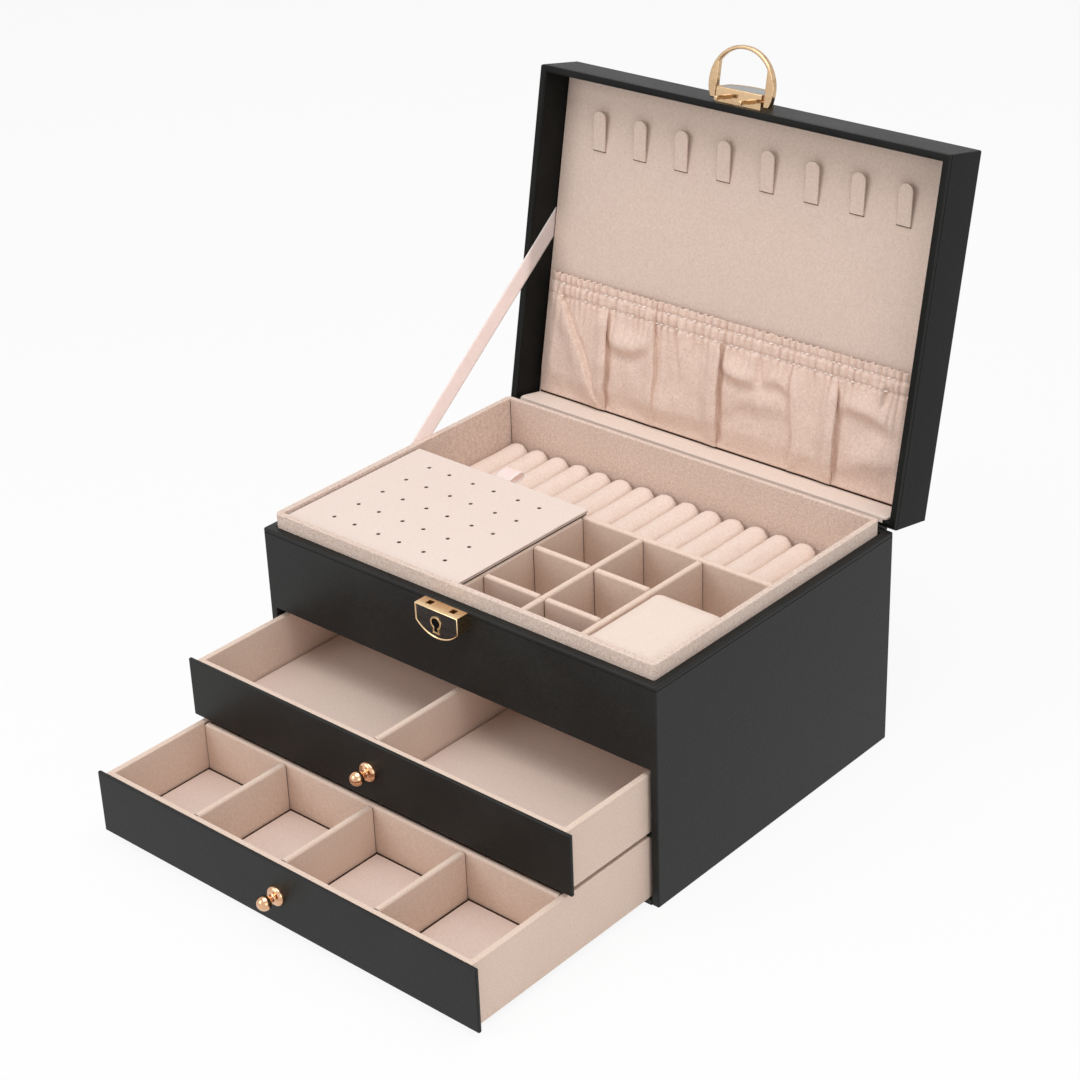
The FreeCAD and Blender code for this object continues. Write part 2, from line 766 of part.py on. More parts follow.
def pocket_section(y, share, standoff, fullness):
    folds = (far_left_fold, left_fold, inner_left_fold, centre_fold, inner_right_fold, right_fold)
    half = lid_inner_x - pocket_side_gap
    creases = [gather + share * (hem - gather) for gather, hem in folds]
    xs = [-half] + creases + [half]
    edge_stand = pocket_back_gap + cloth_thickness
    stands = [edge_stand] + [standoff] * len(creases) + [edge_stand]

    def chain(lift):
        edges = []
        for i in range(len(xs) - 1):
            swell = (stands[i] + stands[i + 1]) / 2 + fullness * (xs[i + 1] - xs[i])
            edges.append(arc(
                V(xs[i], y, lining_z - stands[i] + lift),
                V((xs[i] + xs[i + 1]) / 2, y, lining_z - swell + lift),
                V(xs[i + 1], y, lining_z - stands[i + 1] + lift)))
        return edges

    return ribbon_wire(chain(0), chain(cloth_thickness))


def make_pocket():
    hem_y = lid_inner_back - pocket_hem_gap
    hem_stand = pocket_back_gap + cloth_thickness
    sections = []
    for row in range(pocket_rows + 1):
        share = row / pocket_rows
        swell = math.sin(math.pi * share)
        y = pocket_gather_y + share * (hem_y - pocket_gather_y)
        standoff = gather_standoff + share * (hem_stand - gather_standoff)
        fullness = gather_fullness + share * (hem_fullness - gather_fullness)
        standoff += swell * (belly_standoff - standoff)
        fullness += swell * (belly_fullness - fullness)
        sections.append(pocket_section(y, share, standoff, fullness))
    save_lid("pocket_cloth", Part.makeLoft(sections, True, True))


# Hasp on the lid's front with its prongs, and the ring handle that swings on two pins

def make_hasp():
    half = hasp_width / 2
    body = shield(half, hasp_z, hasp_shoulder, hasp_height, 1, front_y, plate_depth)
    recess = shield(half, hasp_z, hasp_shoulder, hasp_height, 1, recess_floor, plate_recess, plate_rim)
    save_lid("hasp_body", body.cut(recess))
    inlay_inset = plate_rim + inlay_clearance
    inlay = shield(half, hasp_z, hasp_shoulder, hasp_height, 1, recess_floor, inlay_thickness, inlay_inset)
    save_lid("hasp_inlay", inlay)
    prongs = []
    for x in (-prong_spacing / 2, prong_spacing / 2):
        side = prong_side / 2
        prong = block(x - side, x + side, prong_y - side, prong_y + side, hasp_z - prong_length, hasp_z)
        notch = block(
            x + side - prong_notch_depth, x + side, prong_y - side, prong_y + side, notch_bottom, notch_top)
        prongs.append(prong.cut(notch))
    save_lid("hasp_prongs", *prongs)


def make_ring():
    pivot_y = front_y - ring_pivot_out
    pivot_z = hasp_z + ring_pivot_rise
    bottom = pivot_z - ring_thickness / 2
    centre_y = front_y - ring_centre_out
    inner_half = hasp_width / 2 + ring_hasp_gap
    leg_end = front_y - ring_leg_gap
    disc = Part.makeCylinder(ring_radius, ring_thickness, V(0, centre_y, bottom))
    disc = disc.makeChamfer(ring_round, [edge for edge in disc.Edges if edge.isClosed()])
    trim = block(-ring_radius, ring_radius, leg_end, centre_y + ring_radius, bottom, bottom + ring_thickness)
    slot = block(-inner_half, inner_half, centre_y - ring_radius, leg_end, bottom, bottom + ring_thickness)
    bore = Part.makeCylinder(ring_inner_radius, ring_thickness, V(0, centre_y, bottom))
    mouth = block(-inner_half, inner_half, centre_y, leg_end, bottom, bottom + ring_thickness)
    ring = disc.cut(trim).cut(bore.common(slot).fuse(mouth)).removeSplitter()
    pin_hole = Part.makeCylinder(
        ring_pin_radius + ring_pin_clearance, 2 * ring_radius, V(-ring_radius, pivot_y, pivot_z), V(1, 0, 0))
    save_lid("ring_handle", ring.cut(pin_hole))
    pins = []
    for side in (-1, 1):
        seat = V(side * hasp_width / 2, pivot_y, pivot_z)
        pins.append(Part.makeCylinder(ring_pin_radius, ring_pin_length, seat, V(side, 0, 0)))
    save_lid("ring_pins", *pins)


# Ribbon stay: a flat strap, taut between the neck and the lid's lining

def meet(p, along, q, across):
    # Crossing of two lines in the y-z plane
    scale = along.y * across.z - along.z * across.y
    gap = q - p
    return p + along * ((gap.y * across.z - gap.z * across.y) / scale)


def make_stay():
    turn = FreeCAD.Rotation(V(-1, 0, 0), lid_open_angle)

    def lid_point(y, z):
        return hinge + turn.multVec(V(0, y, z) - hinge)

    x = -(inner_x + lid_inner_x) / 2 - stay_thickness / 2
    at_neck = V(0, stay_neck_y, neck_top)
    at_lid = lid_point(stay_lid_y, lining_z - stay_end_gap)
    lid_way = turn.multVec(V(0, 1, 0))
    along = (at_lid - at_neck).normalize()
    aside = V(0, -along.z, along.y) * (stay_width / 2)
    rim = V(0, stay_neck_y, case_height + stay_end_gap)
    corners = [
        meet(at_neck + aside, along, rim, V(0, 1, 0)),
        meet(at_neck + aside, along, at_lid, lid_way),
        meet(at_neck - aside, along, at_lid, lid_way),
        meet(at_neck - aside, along, rim, V(0, 1, 0)),
    ]
    corners = [V(x, corner.y, corner.z) for corner in corners]
    edges = [line(corners[i], corners[(i + 1) % 4]) for i in range(4)]
    save("stay_ribbon", Part.Face(Part.Wire(edges)).extrude(V(stay_thickness, 0, 0)))


make_case()
make_tray()
make_rolls()
make_board()
make_pillow()
make_drawer(
    "upper", upper_pulled, (upper_front_bottom, upper_front_top),
    (shelf_top + running_clearance, upper_front_top - drawer_lip), upper_pad, 0, [0.0])
make_drawer(
    "lower", lower_pulled, (lower_front_bottom, lower_front_top),
    (base_thickness + running_clearance, shelf_bottom - top_clearance), lower_pad, lower_cross_offset,
    [-lower_cell_pitch, 0.0, lower_cell_pitch])
make_lock()
make_lid()
make_hooks()
make_band()
make_pocket()
make_hasp()
make_ring()
make_stay()
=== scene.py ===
import math
import bmesh
import bpy
from mathutils import Matrix, Vector, noise


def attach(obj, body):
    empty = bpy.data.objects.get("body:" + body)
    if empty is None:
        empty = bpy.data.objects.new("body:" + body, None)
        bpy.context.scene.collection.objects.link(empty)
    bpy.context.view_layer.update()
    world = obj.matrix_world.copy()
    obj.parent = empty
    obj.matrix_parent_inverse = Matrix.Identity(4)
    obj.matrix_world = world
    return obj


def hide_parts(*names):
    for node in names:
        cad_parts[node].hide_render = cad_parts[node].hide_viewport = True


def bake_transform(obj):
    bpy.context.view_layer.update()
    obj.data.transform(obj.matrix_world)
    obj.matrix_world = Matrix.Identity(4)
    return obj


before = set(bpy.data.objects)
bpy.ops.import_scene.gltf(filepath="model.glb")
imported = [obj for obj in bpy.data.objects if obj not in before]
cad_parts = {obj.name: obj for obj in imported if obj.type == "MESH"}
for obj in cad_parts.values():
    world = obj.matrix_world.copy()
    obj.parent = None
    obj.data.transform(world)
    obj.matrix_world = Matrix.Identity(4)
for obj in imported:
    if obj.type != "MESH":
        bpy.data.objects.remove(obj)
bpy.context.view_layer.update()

scene = bpy.context.scene
mm = 0.001
hinge = Vector((0, 85, 109)) * mm
lidTurn = Matrix.Rotation(math.radians(-101), 3, "X")  # shut lid to the photographed opening
print("frame loaded:", len(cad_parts), "nodes")


# Materials

class Wire:  # a socket that takes part in sums
    def __init__(self, finish, socket):
        self.finish = finish
        self.socket = socket

    def maths(self, operation, first, second):
        return self.finish.add("ShaderNodeMath", dict(operation=operation), {0: first, 1: second})

    def __add__(self, other):
        return self.maths("ADD", self, other)

    def __radd__(self, other):
        return self.maths("ADD", other, self)

    def __sub__(self, other):
        return self.maths("SUBTRACT", self, other)

    def __rsub__(self, other):
        return self.maths("SUBTRACT", other, self)

    def __mul__(self, other):
        return self.maths("MULTIPLY", self, other)

    def __rmul__(self, other):
        return self.maths("MULTIPLY", other, self)


class Finish:  # a material, or the world, and its nodes
    def __init__(self, owner):
        self.owner = owner
        owner.use_nodes = True
        self.nodes = owner.node_tree.nodes
        self.links = owner.node_tree.links
        self.nodes.clear()

    def add(self, kind, settings, sockets, out=0):
        node = self.nodes.new(kind)
        for key, value in settings.items():
            setattr(node, key, value)
        for key, value in sockets.items():
            if isinstance(value, Wire):
                self.links.new(value.socket, node.inputs[key])
            else:
                node.inputs[key].default_value = value
        return Wire(self, node.outputs[out]) if node.outputs else None

    def place(self, source="Object"):
        return self.add("ShaderNodeTexCoord", {}, {}, source)

    def speckle(self, at, scale, detail=2.0):
        return self.add("ShaderNodeTexNoise", {}, {"Vector": at, "Scale": scale, "Detail": detail})

    def stretch(self, at, scale):
        return self.add("ShaderNodeMapping", {}, {"Vector": at, "Scale": scale})

    def band(self, value, low, high):
        return self.add("ShaderNodeMapRange", dict(interpolation_type="SMOOTHSTEP"), {
            "Value": value, "From Min": low, "From Max": high})

    def tint(self, factor, first, second):
        return self.add("ShaderNodeMix", dict(data_type="RGBA"), {0: factor, 6: first, 7: second}, 2)

    def bump(self, height, strength, distance):
        return self.add("ShaderNodeBump", {}, {"Height": height, "Strength": strength, "Distance": distance})

    def wave(self, value):  # a sine between 0 and 1
        return self.add("ShaderNodeMath", dict(operation="SINE"), {0: value}) * 0.5 + 0.5

    def surface(self, sockets):
        return self.show(self.add("ShaderNodeBsdfPrincipled", {}, sockets))

    def show(self, shader):
        self.add("ShaderNodeOutputMaterial", {}, {"Surface": shader})
        return self.owner


def newFinish(name):
    return Finish(bpy.data.materials.new(name))


def shade(red, green, blue):  # screen colour, 0 to 255, as the linear one that nodes take
    channels = [c / 255 for c in (red, green, blue)]
    return (*[c / 12.92 if c < 0.0405 else ((c + 0.055) / 1.055) ** 2.4 for c in channels], 1.0)


leatheretteLook = dict(
    dark=shade(17, 18, 17), worn=shade(31, 32, 30), grain=1150.0, patch=26.0, crease=(90.0, 90.0, 420.0),
    roughness=0.37, gloss=0.25, relief=0.26, depth=0.00035)


def leatherette(name, look):
    finish = newFinish(name)
    at = finish.place()
    cells = finish.add("ShaderNodeTexVoronoi", dict(feature="SMOOTH_F1"), {
        "Vector": at, "Scale": look["grain"], "Smoothness": 0.6})
    fine = finish.speckle(at, look["grain"] * 2.1, 3.0)
    patch = finish.speckle(at, look["patch"], 4.0)
    crease = finish.speckle(finish.stretch(at, look["crease"]), 1.0, 4.0)
    height = cells * 0.55 + fine * 0.35 + crease * 0.5
    pore = finish.band(cells, 0.25, 0.75)
    colour = finish.tint(finish.band(patch, 0.35, 0.75) * 0.6 + pore * 0.25, look["dark"], look["worn"])
    return finish.surface({
        "Base Color": colour,
        "Roughness": look["roughness"] + patch * 0.14 + pore * 0.05,
        "Specular IOR Level": look["gloss"],
        "Normal": finish.bump(height, look["relief"], look["depth"])})


velvetLook = dict(nap=3000.0, tuft=1250.0, sweep=26.0, brushing=(1.0, 1.6, 0.7), roughness=0.88, gloss=0.12,
                  sheen=0.2, sheenSpread=0.45, depth=0.0003)
fleeceLook = dict(velvetLook, nap=1700.0, tuft=800.0, sweep=34.0, roughness=0.9, sheen=0.25, depth=0.0006)
plushLook = dict(velvetLook, nap=2300.0, tuft=850.0, sweep=90.0, roughness=0.9, depth=0.0004)


def velvet(name, colour, depth, look=velvetLook, strength=0.3):
    finish = newFinish(name)
    at = finish.place()
    nap = finish.speckle(at, look["nap"], 2.0)
    tuft = finish.speckle(at, look["tuft"], 3.0)
    sweep = finish.speckle(finish.stretch(at, look["brushing"]), look["sweep"], 4.0)
    pile = nap * 0.5 + tuft * 0.5
    shaded = finish.tint(finish.band(pile, 0.25, 0.7), depth, colour)
    brushed = finish.tint(finish.band(sweep, 0.35, 0.7) * 0.12, shaded, depth)
    return finish.surface({
        "Base Color": brushed,
        "Roughness": look["roughness"] + tuft * 0.1,
        "Specular IOR Level": look["gloss"],
        "Sheen Weight": look["sheen"],
        "Sheen Roughness": look["sheenSpread"],
        "Sheen Tint": colour,
        "Normal": finish.bump(pile, strength, look["depth"])})


goldLook = dict(colour=shade(202, 172, 136), dull=shade(134, 100, 70), roughness=0.12, smear=150.0,
                scratch=(240.0, 2600.0, 900.0))
# painted highlight: a brighter copy of the gold for the lock and keyhole rim, standing in for the stronger
# light they catch
lockLitLook = dict(goldLook, colour=shade(240, 208, 164), dull=shade(206, 164, 116), roughness=0.2)
roseLook = dict(goldLook, colour=shade(224, 180, 144), dull=shade(156, 102, 68), roughness=0.06)


def plated(name, look):
    finish = newFinish(name)
    at = finish.place()
    smear = finish.speckle(finish.stretch(at, (1.0, 1.0, 2.4)), look["smear"], 2.0)
    scratch = finish.speckle(finish.stretch(at, look["scratch"]), 1.0, 2.0)
    dulled = finish.band(smear, 0.42, 0.8)
    return finish.surface({
        "Base Color": finish.tint(dulled * 0.5, look["colour"], look["dull"]),
        "Metallic": 1.0,
        "Roughness": look["roughness"] + dulled * 0.1 + finish.band(scratch, 0.55, 0.8) * 0.05,
        "Normal": finish.bump(smear * 0.7 + scratch * 0.3, 0.02, 0.0003)})


enamelLook = dict(black=shade(13, 13, 13), dusty=shade(44, 43, 41), ripple=420.0, dust=2600.0, coat=0.3)


def enamel(name, look):
    finish = newFinish(name)
    at = finish.place()
    ripple = finish.speckle(at, look["ripple"], 3.0)
    dust = finish.speckle(at, look["dust"], 2.0)
    return finish.surface({
        "Base Color": finish.tint(finish.band(dust, 0.55, 0.85) * 0.4, look["black"], look["dusty"]),
        "Roughness": 0.2 + ripple * 0.12,
        "Coat Weight": look["coat"],
        "Coat Roughness": 0.08,
        "Normal": finish.bump(ripple, 0.06, 0.0003)})


steelLook = dict(dark=shade(150, 152, 154), bright=shade(196, 198, 200), brush=(120.0, 3000.0, 900.0))


def steel(name, look):
    finish = newFinish(name)
    at = finish.place()
    brush = finish.speckle(finish.stretch(at, look["brush"]), 1.0, 3.0)
    return finish.surface({
        "Base Color": finish.tint(brush, look["dark"], look["bright"]),
        "Metallic": 1.0,
        "Roughness": 0.28 + brush * 0.14,
        "Normal": finish.bump(brush, 0.08, 0.0002)})


ribbonLook = dict(colour=shade(255, 249, 247), shadow=shade(247, 232, 228), selvedge=shade(255, 252, 251),
                  glow=shade(255, 243, 239), weft=9000.0, warp=130.0, thin=0.48)


def satin(name, look):
    finish = newFinish(name)
    across = finish.add("ShaderNodeSeparateXYZ", {}, {0: finish.place("UV")})
    along = finish.add("ShaderNodeSeparateXYZ", {}, {0: finish.place("UV")}, 1)
    weft = finish.wave(along * look["weft"])
    warp = finish.wave(across * look["warp"])
    middle = finish.add("ShaderNodeMath", dict(operation="ABSOLUTE"), {0: across - 0.5})
    edge = finish.band(middle, 0.36, 0.42)
    mottle = finish.speckle(finish.place(), 180.0, 3.0)
    body = finish.tint(mottle * 0.5 + weft * 0.25, look["colour"], look["shadow"])
    colour = finish.tint(edge * 0.85, body, look["selvedge"])
    front = finish.add("ShaderNodeBsdfPrincipled", {}, {
        "Base Color": colour,
        "Roughness": 0.46 + weft * 0.1 + edge * 0.1,
        "Sheen Weight": 0.25,
        "Normal": finish.bump(weft * 0.5 + warp * 0.3 + edge * 0.6, 0.25, 0.00012)})
    through = finish.add("ShaderNodeBsdfTranslucent", {}, {"Color": look["glow"]})
    return finish.show(finish.add("ShaderNodeMixShader", {}, {0: look["thin"], 1: front, 2: through}))


blackLeather = leatherette("blackLeatherette", leatheretteLook)
# painted shade: the lid's copy of the leatherette reflects less, so the lid reads darker than the case under
# the same light
lidShadedLeather = leatherette("lidShadedLeatherette", dict(leatheretteLook, gloss=0.09))
boardVelvet = velvet("boardVelvet", shade(234, 212, 197), shade(212, 187, 170))
neckVelvet = velvet("neckVelvet", shade(234, 215, 203), shade(198, 174, 160), fleeceLook, strength=0.85)
stripVelvet = velvet("stripVelvet", shade(238, 222, 211), shade(224, 205, 193))
# painted shade: the drawer floors under the pads are dark brown so the gaps round the pads read as shadow
floorShadeVelvet = velvet("floorShadeVelvet", shade(128, 102, 88), shade(104, 81, 69))
liningVelvet = velvet("liningVelvet", shade(224, 204, 191), shade(206, 183, 169), plushLook, strength=0.4)
rollVelvet = velvet("rollVelvet", shade(237, 221, 211), shade(224, 200, 185), plushLook)
padVelvet = velvet("padVelvet", shade(228, 209, 198), shade(213, 190, 178))
pinVelvet = velvet("pinVelvet", shade(232, 216, 207), shade(221, 203, 193), strength=0.25)
pillowVelvet = velvet("pillowVelvet", shade(234, 217, 205), shade(222, 203, 190), strength=0.25)
pocketVelvet = velvet("pocketVelvet", shade(235, 212, 199), shade(211, 183, 167), plushLook, strength=0.6)
threadVelvet = velvet("threadVelvet", shade(255, 250, 245), shade(250, 238, 229), strength=0.2)
# painted shade: near-black velvet to fill the keyhole, where the hole is in shadow
boreBlack = velvet("boreBlack", shade(9, 9, 9), shade(5, 5, 5), strength=0.1)
# painted shade: dark brown velvet for the strips, cones and slabs set into gaps, slits and holes, where there
# is only shadow
shadeVelvet = velvet("shadeVelvet", shade(74, 52, 43), shade(50, 35, 28), strength=0.2)
goldPlate = plated("goldPlate", goldLook)
lockLitGold = plated("lockLitGold", lockLitLook)
rosePlate = plated("rosePlate", roseLook)
blackEnamel = enamel("blackEnamel", enamelLook)
boltSteel = steel("boltSteel", steelLook)
palePinkSatin = satin("palePinkSatin", ribbonLook)
print("materials made:", len(bpy.data.materials))


# Modelling helpers

def slab(bm, low, high):  # a block between two corners, in mm
    low, high = Vector(low) * mm, Vector(high) * mm
    stretch = Matrix.Diagonal((*(high - low), 1))
    return bmesh.ops.create_cube(bm, size=1, matrix=Matrix.Translation((low + high) / 2) @ stretch)["verts"]


def near(value, goal):
    return abs(value - goal * mm) < 0.02 * mm


def span(edge, axis):  # how far an edge runs along x, y or z
    return abs(edge.verts[0].co[axis] - edge.verts[1].co[axis])


def vertsOf(geom):
    return [g for g in geom if isinstance(g, bmesh.types.BMVert)]


def dot(bm, x, y, z):  # a vertex, placed in mm
    return bm.verts.new(Vector((x, y, z)) * mm)


def join(bm, *chain):  # edges from each vertex to the next
    for a, b in zip(chain, chain[1:]):
        bm.edges.new((a, b))


def arc(bm, first, centre, axis, angle, steps):  # spins a vertex round a centre in mm, gives the last one
    made = bmesh.ops.spin(bm, geom=[first], cent=Vector(centre) * mm, axis=axis, angle=angle, steps=steps)
    return vertsOf(made["geom_last"])[0]


def fill(bm):
    return bmesh.ops.contextual_create(bm, geom=list(bm.edges))["faces"][0]


def bothEnds(edges, test):
    return [e for e in edges if all(test(v.co) for v in e.verts)]


def corners(bm, test=None, least=0.5):  # edges that turn, and that the test picks by their two ends
    found = [e for e in bm.edges if len(e.link_faces) == 2 and e.calc_face_angle(0) > least]
    return bothEnds(found, test) if test else found


def soften(bm, edges, width, segments=3):
    bmesh.ops.bevel(
        bm, geom=edges, offset=width * mm, offset_type="OFFSET", affect="EDGES", segments=segments,
        profile=0.5, material=-1, clamp_overlap=True)


def shift(bm, verts, x=0, y=0, z=0):
    bmesh.ops.translate(bm, verts=verts, vec=Vector((x, y, z)) * mm)


def faceAt(bm, axis, value):
    return [f for f in bm.faces if all(near(v.co[axis], value) for v in f.verts)]


def sleeve(bm, low, high, wall, frontThinner=0, backThinner=0):  # four walls, open above and below
    slab(bm, low, high)
    ends = faceAt(bm, 2, low[2]) + faceAt(bm, 2, high[2])
    bmesh.ops.inset_individual(bm, faces=ends, thickness=wall * mm, use_even_offset=True)
    inside, middle = [v for f in ends for v in f.verts], (low[1] + high[1]) / 2 * mm
    shift(bm, [v for v in inside if v.co.y < middle], y=-frontThinner)
    shift(bm, [v for v in inside if v.co.y > middle], y=backThinner)
    loops = [e for f in ends for e in f.edges]
    bmesh.ops.delete(bm, geom=ends, context="FACES_ONLY")
    bmesh.ops.bridge_loops(bm, edges=loops)


def bisect(bm, spot, way):  # cuts every face along a plane, spot in metres
    everything = list(bm.verts) + list(bm.edges) + list(bm.faces)
    bmesh.ops.bisect_plane(bm, geom=everything, dist=1e-7, plane_co=spot, plane_no=way)


def groove(bm, level, width, depth, test):  # a line pressed into the upright faces that the test picks
    for cut in (level, level + width):
        bisect(bm, (0, 0, cut * mm), (0, 0, 1))
    middles = [(f, f.calc_center_median() / mm) for f in bm.faces]
    line = [f for f, c in middles if level < c.z < level + width and test(c)]
    bmesh.ops.inset_region(bm, faces=line, thickness=0.06 * mm, depth=-depth * mm, use_even_offset=True)


def openLid(bm):
    bmesh.ops.rotate(bm, verts=bm.verts, cent=hinge, matrix=lidTurn)


def put(name, data):
    thing = bpy.data.objects.new(name, data)
    scene.collection.objects.link(thing)
    return thing


def loose(mesh):  # an object for a modifier to work on
    return put("loose", mesh)


def drop(*things):
    for thing in things:
        mesh = thing.data
        bpy.data.objects.remove(thing)
        bpy.data.meshes.remove(mesh)


def asMesh(bm, name="loose"):
    mesh = bpy.data.meshes.new(name)
    bm.to_mesh(mesh)
    bm.free()
    return mesh


def settled(thing):  # the thing's mesh with its modifiers applied, as a bmesh
    done = bmesh.new()
    done.from_object(thing, bpy.context.evaluated_depsgraph_get())
    return done


def carve(bm, tool):  # takes the tool's shape out of bm
    bmesh.ops.recalc_face_normals(bm, faces=bm.faces)
    bmesh.ops.recalc_face_normals(tool, faces=tool.faces)
    body, cutter = loose(asMesh(bm)), loose(asMesh(tool))
    cut = body.modifiers.new("cut", "BOOLEAN")
    cut.operation = "DIFFERENCE"
    cut.solver = "EXACT"
    cut.object = cutter
    done = settled(body)
    drop(body, cutter)
    return done


def piece(name, bm, finish, body, nodes=(), turn=35, even=True):
    bmesh.ops.recalc_face_normals(bm, faces=bm.faces)
    mesh = asMesh(bm, name)
    mesh.shade_smooth()
    mesh.set_sharp_from_angle(angle=math.radians(turn))
    mesh.materials.append(finish)
    made = put(name, mesh)
    if even:
        level = made.modifiers.new("evenNormals", "WEIGHTED_NORMAL")
        level.keep_sharp = True
    if body:
        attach(made, body)
    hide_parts(*nodes)
    print("piece", name, len(mesh.polygons), "faces")
    return made


def thickness(made, depth):  # gives a sheet its depth, half to each side
    thick = made.modifiers.new("thickness", "SOLIDIFY")
    thick.thickness = depth * mm
    thick.offset = 0


# Case: leatherette wrap with the drawer opening, one skin round the four boards

caseLook = dict(halfWidth=115.0, halfDepth=85.0, height=109.0, wall=4.0, railBottom=67.7, edge=0.8,
                crease=(106.8, 0.4, 0.22), skin=1.2)


def makeCase(look):
    bm = bmesh.new()
    w, d, wall = look["halfWidth"], look["halfDepth"], look["wall"]
    sleeve(bm, (-w, -d, 0), (w, d, look["height"]), wall)
    bisect(bm, Vector((0, 0, look["railBottom"])) * mm, (0, 0, 1))
    for x in (w - wall, wall - w):
        bisect(bm, Vector((x, 0, 0)) * mm, (1, 0, 0))
    gone = []  # what fills the drawer opening
    for f in bm.faces:
        c = f.calc_center_median() / mm
        if c.y < -d + wall + 0.1 and abs(c.x) < w - wall - 1 and c.z < look["railBottom"] - 0.1:
            gone.append(f)
    bmesh.ops.delete(bm, geom=gone, context="FACES")
    rims = [e for e in bm.edges if e.is_boundary]
    outer, inner = [bothEnds(rims, lambda c: near(c.y, y)) for y in (-d, wall - d)]
    bmesh.ops.bridge_loops(bm, edges=outer + inner)
    bmesh.ops.dissolve_limit(bm, angle_limit=0.01, verts=bm.verts, edges=bm.edges)
    bmesh.ops.recalc_face_normals(bm, faces=bm.faces)
    soften(bm, corners(bm, lambda c: abs(c.x) > (w - 0.1) * mm or abs(c.y) > (d - 0.1) * mm), look["edge"])
    groove(bm, *look["crease"], lambda c: abs(c.x) > w - look["skin"] or abs(c.y) > d - look["skin"])
    return piece("caseWrap", bm, blackLeather, "case",
                 ("left_panel", "right_panel", "back_panel", "front_rail"))


makeCase(caseLook)

lidLook = dict(bottom=109.3, top=136.0, wall=3.4, ceiling=132.0, edge=0.8, hingeEdge=2.2, rimEdge=1.1,
               crease=(111.6, 0.4, 0.22), skin=1.2, clear=3)


def makeLid(look):
    bm = bmesh.new()
    w, d, skin, clear = caseLook["halfWidth"], caseLook["halfDepth"], look["skin"], look["clear"]
    slab(bm, (-w, -d, look["bottom"]), (w, d, look["top"]))
    under = faceAt(bm, 2, look["bottom"])
    bmesh.ops.inset_individual(bm, faces=under, thickness=look["wall"] * mm, use_even_offset=True)
    raised = bmesh.ops.extrude_discrete_faces(bm, faces=under)["faces"]
    shift(bm, raised[0].verts, z=look["ceiling"] - look["bottom"])
    soften(bm, corners(bm, lambda c: near(c.y, d) and near(c.z, look["bottom"])), look["hingeEdge"], 4)
    soften(bm, corners(bm, lambda c: (near(abs(c.x), w) or near(abs(c.y), d)) and not (
        c.y > (d - clear) * mm and c.z < (look["bottom"] + clear) * mm)), look["edge"])
    rim = corners(bm, lambda c: near(c.z, look["bottom"]))
    inner = bothEnds(rim, lambda c: abs(c.x) < (w - clear) * mm and abs(c.y) < (d - clear) * mm)
    soften(bm, inner, look["rimEdge"], 3)
    groove(bm, *look["crease"], lambda c: c.y < d - skin and (abs(c.x) > w - skin or c.y < skin - d))
    openLid(bm)
    return piece("lidWrap", bm, lidShadedLeather, "lid",
                 ("lid_top", "lid_front", "lid_back", "lid_left", "lid_right"))


makeLid(lidLook)


# Velvet neck round the tray, with soft corners

neckLook = dict(halfWidth=111.0, front=-81.0, back=80.0, bottom=71.0, top=116.0, wall=3.0, backWall=2.4,
                corner=2.6, innerCorner=0.35, edge=1.18, shadeSide=0.5)


def makeNeck(look):
    bm = bmesh.new()
    w = look["halfWidth"]
    sleeve(bm, (-w, look["front"], look["bottom"]), (w, look["back"], look["top"]), look["wall"],
           backThinner=look["wall"] - look["backWall"])
    for x, width, segments in ((w, look["corner"], 5), (w - look["wall"], look["innerCorner"], 2)):
        upright = [e for e in bm.edges if span(e, 2) > 10 * mm]
        soften(bm, [e for e in upright if near(abs(e.verts[0].co.x), x)], width, segments)
    soften(bm, corners(bm, lambda c: near(c.z, look["top"])), look["edge"], 5)
    # painted shade: dark slivers standing up the inner corners, where the corner creases are in shadow
    shadeStrips, half = bmesh.new(), look["shadeSide"] / 2
    shadeLow, shadeTop = look["bottom"] + 1, look["top"] - look["edge"] - 0.3
    for x in (look["wall"] - w, w - look["wall"]):
        for y in (look["front"] + look["wall"], look["back"] - look["backWall"]):
            slab(shadeStrips, (x - half, y - half, shadeLow), (x + half, y + half, shadeTop))
    piece("neckSeams", shadeStrips, shadeVelvet, "case")
    return piece("neckFrame", bm, neckVelvet, "case",
                 ("neck_front", "neck_back", "neck_left", "neck_right"), turn=60)


makeNeck(neckLook)


# Tray walls: wrapped boards with a hair of room where they meet, the room filled with dark strips as painted
# shade

trayLook = dict(floor=71.0, top=111.8, wall=3.2, halfWidth=108.0, front=-78.0, partition=9.0,
                uprights=(-2.6, 32.5, 66.0), crossings=(-26.1, -59.2), gap=0.45, edge=1.3,
                shadeIn=0.35, endEdge=0.3)


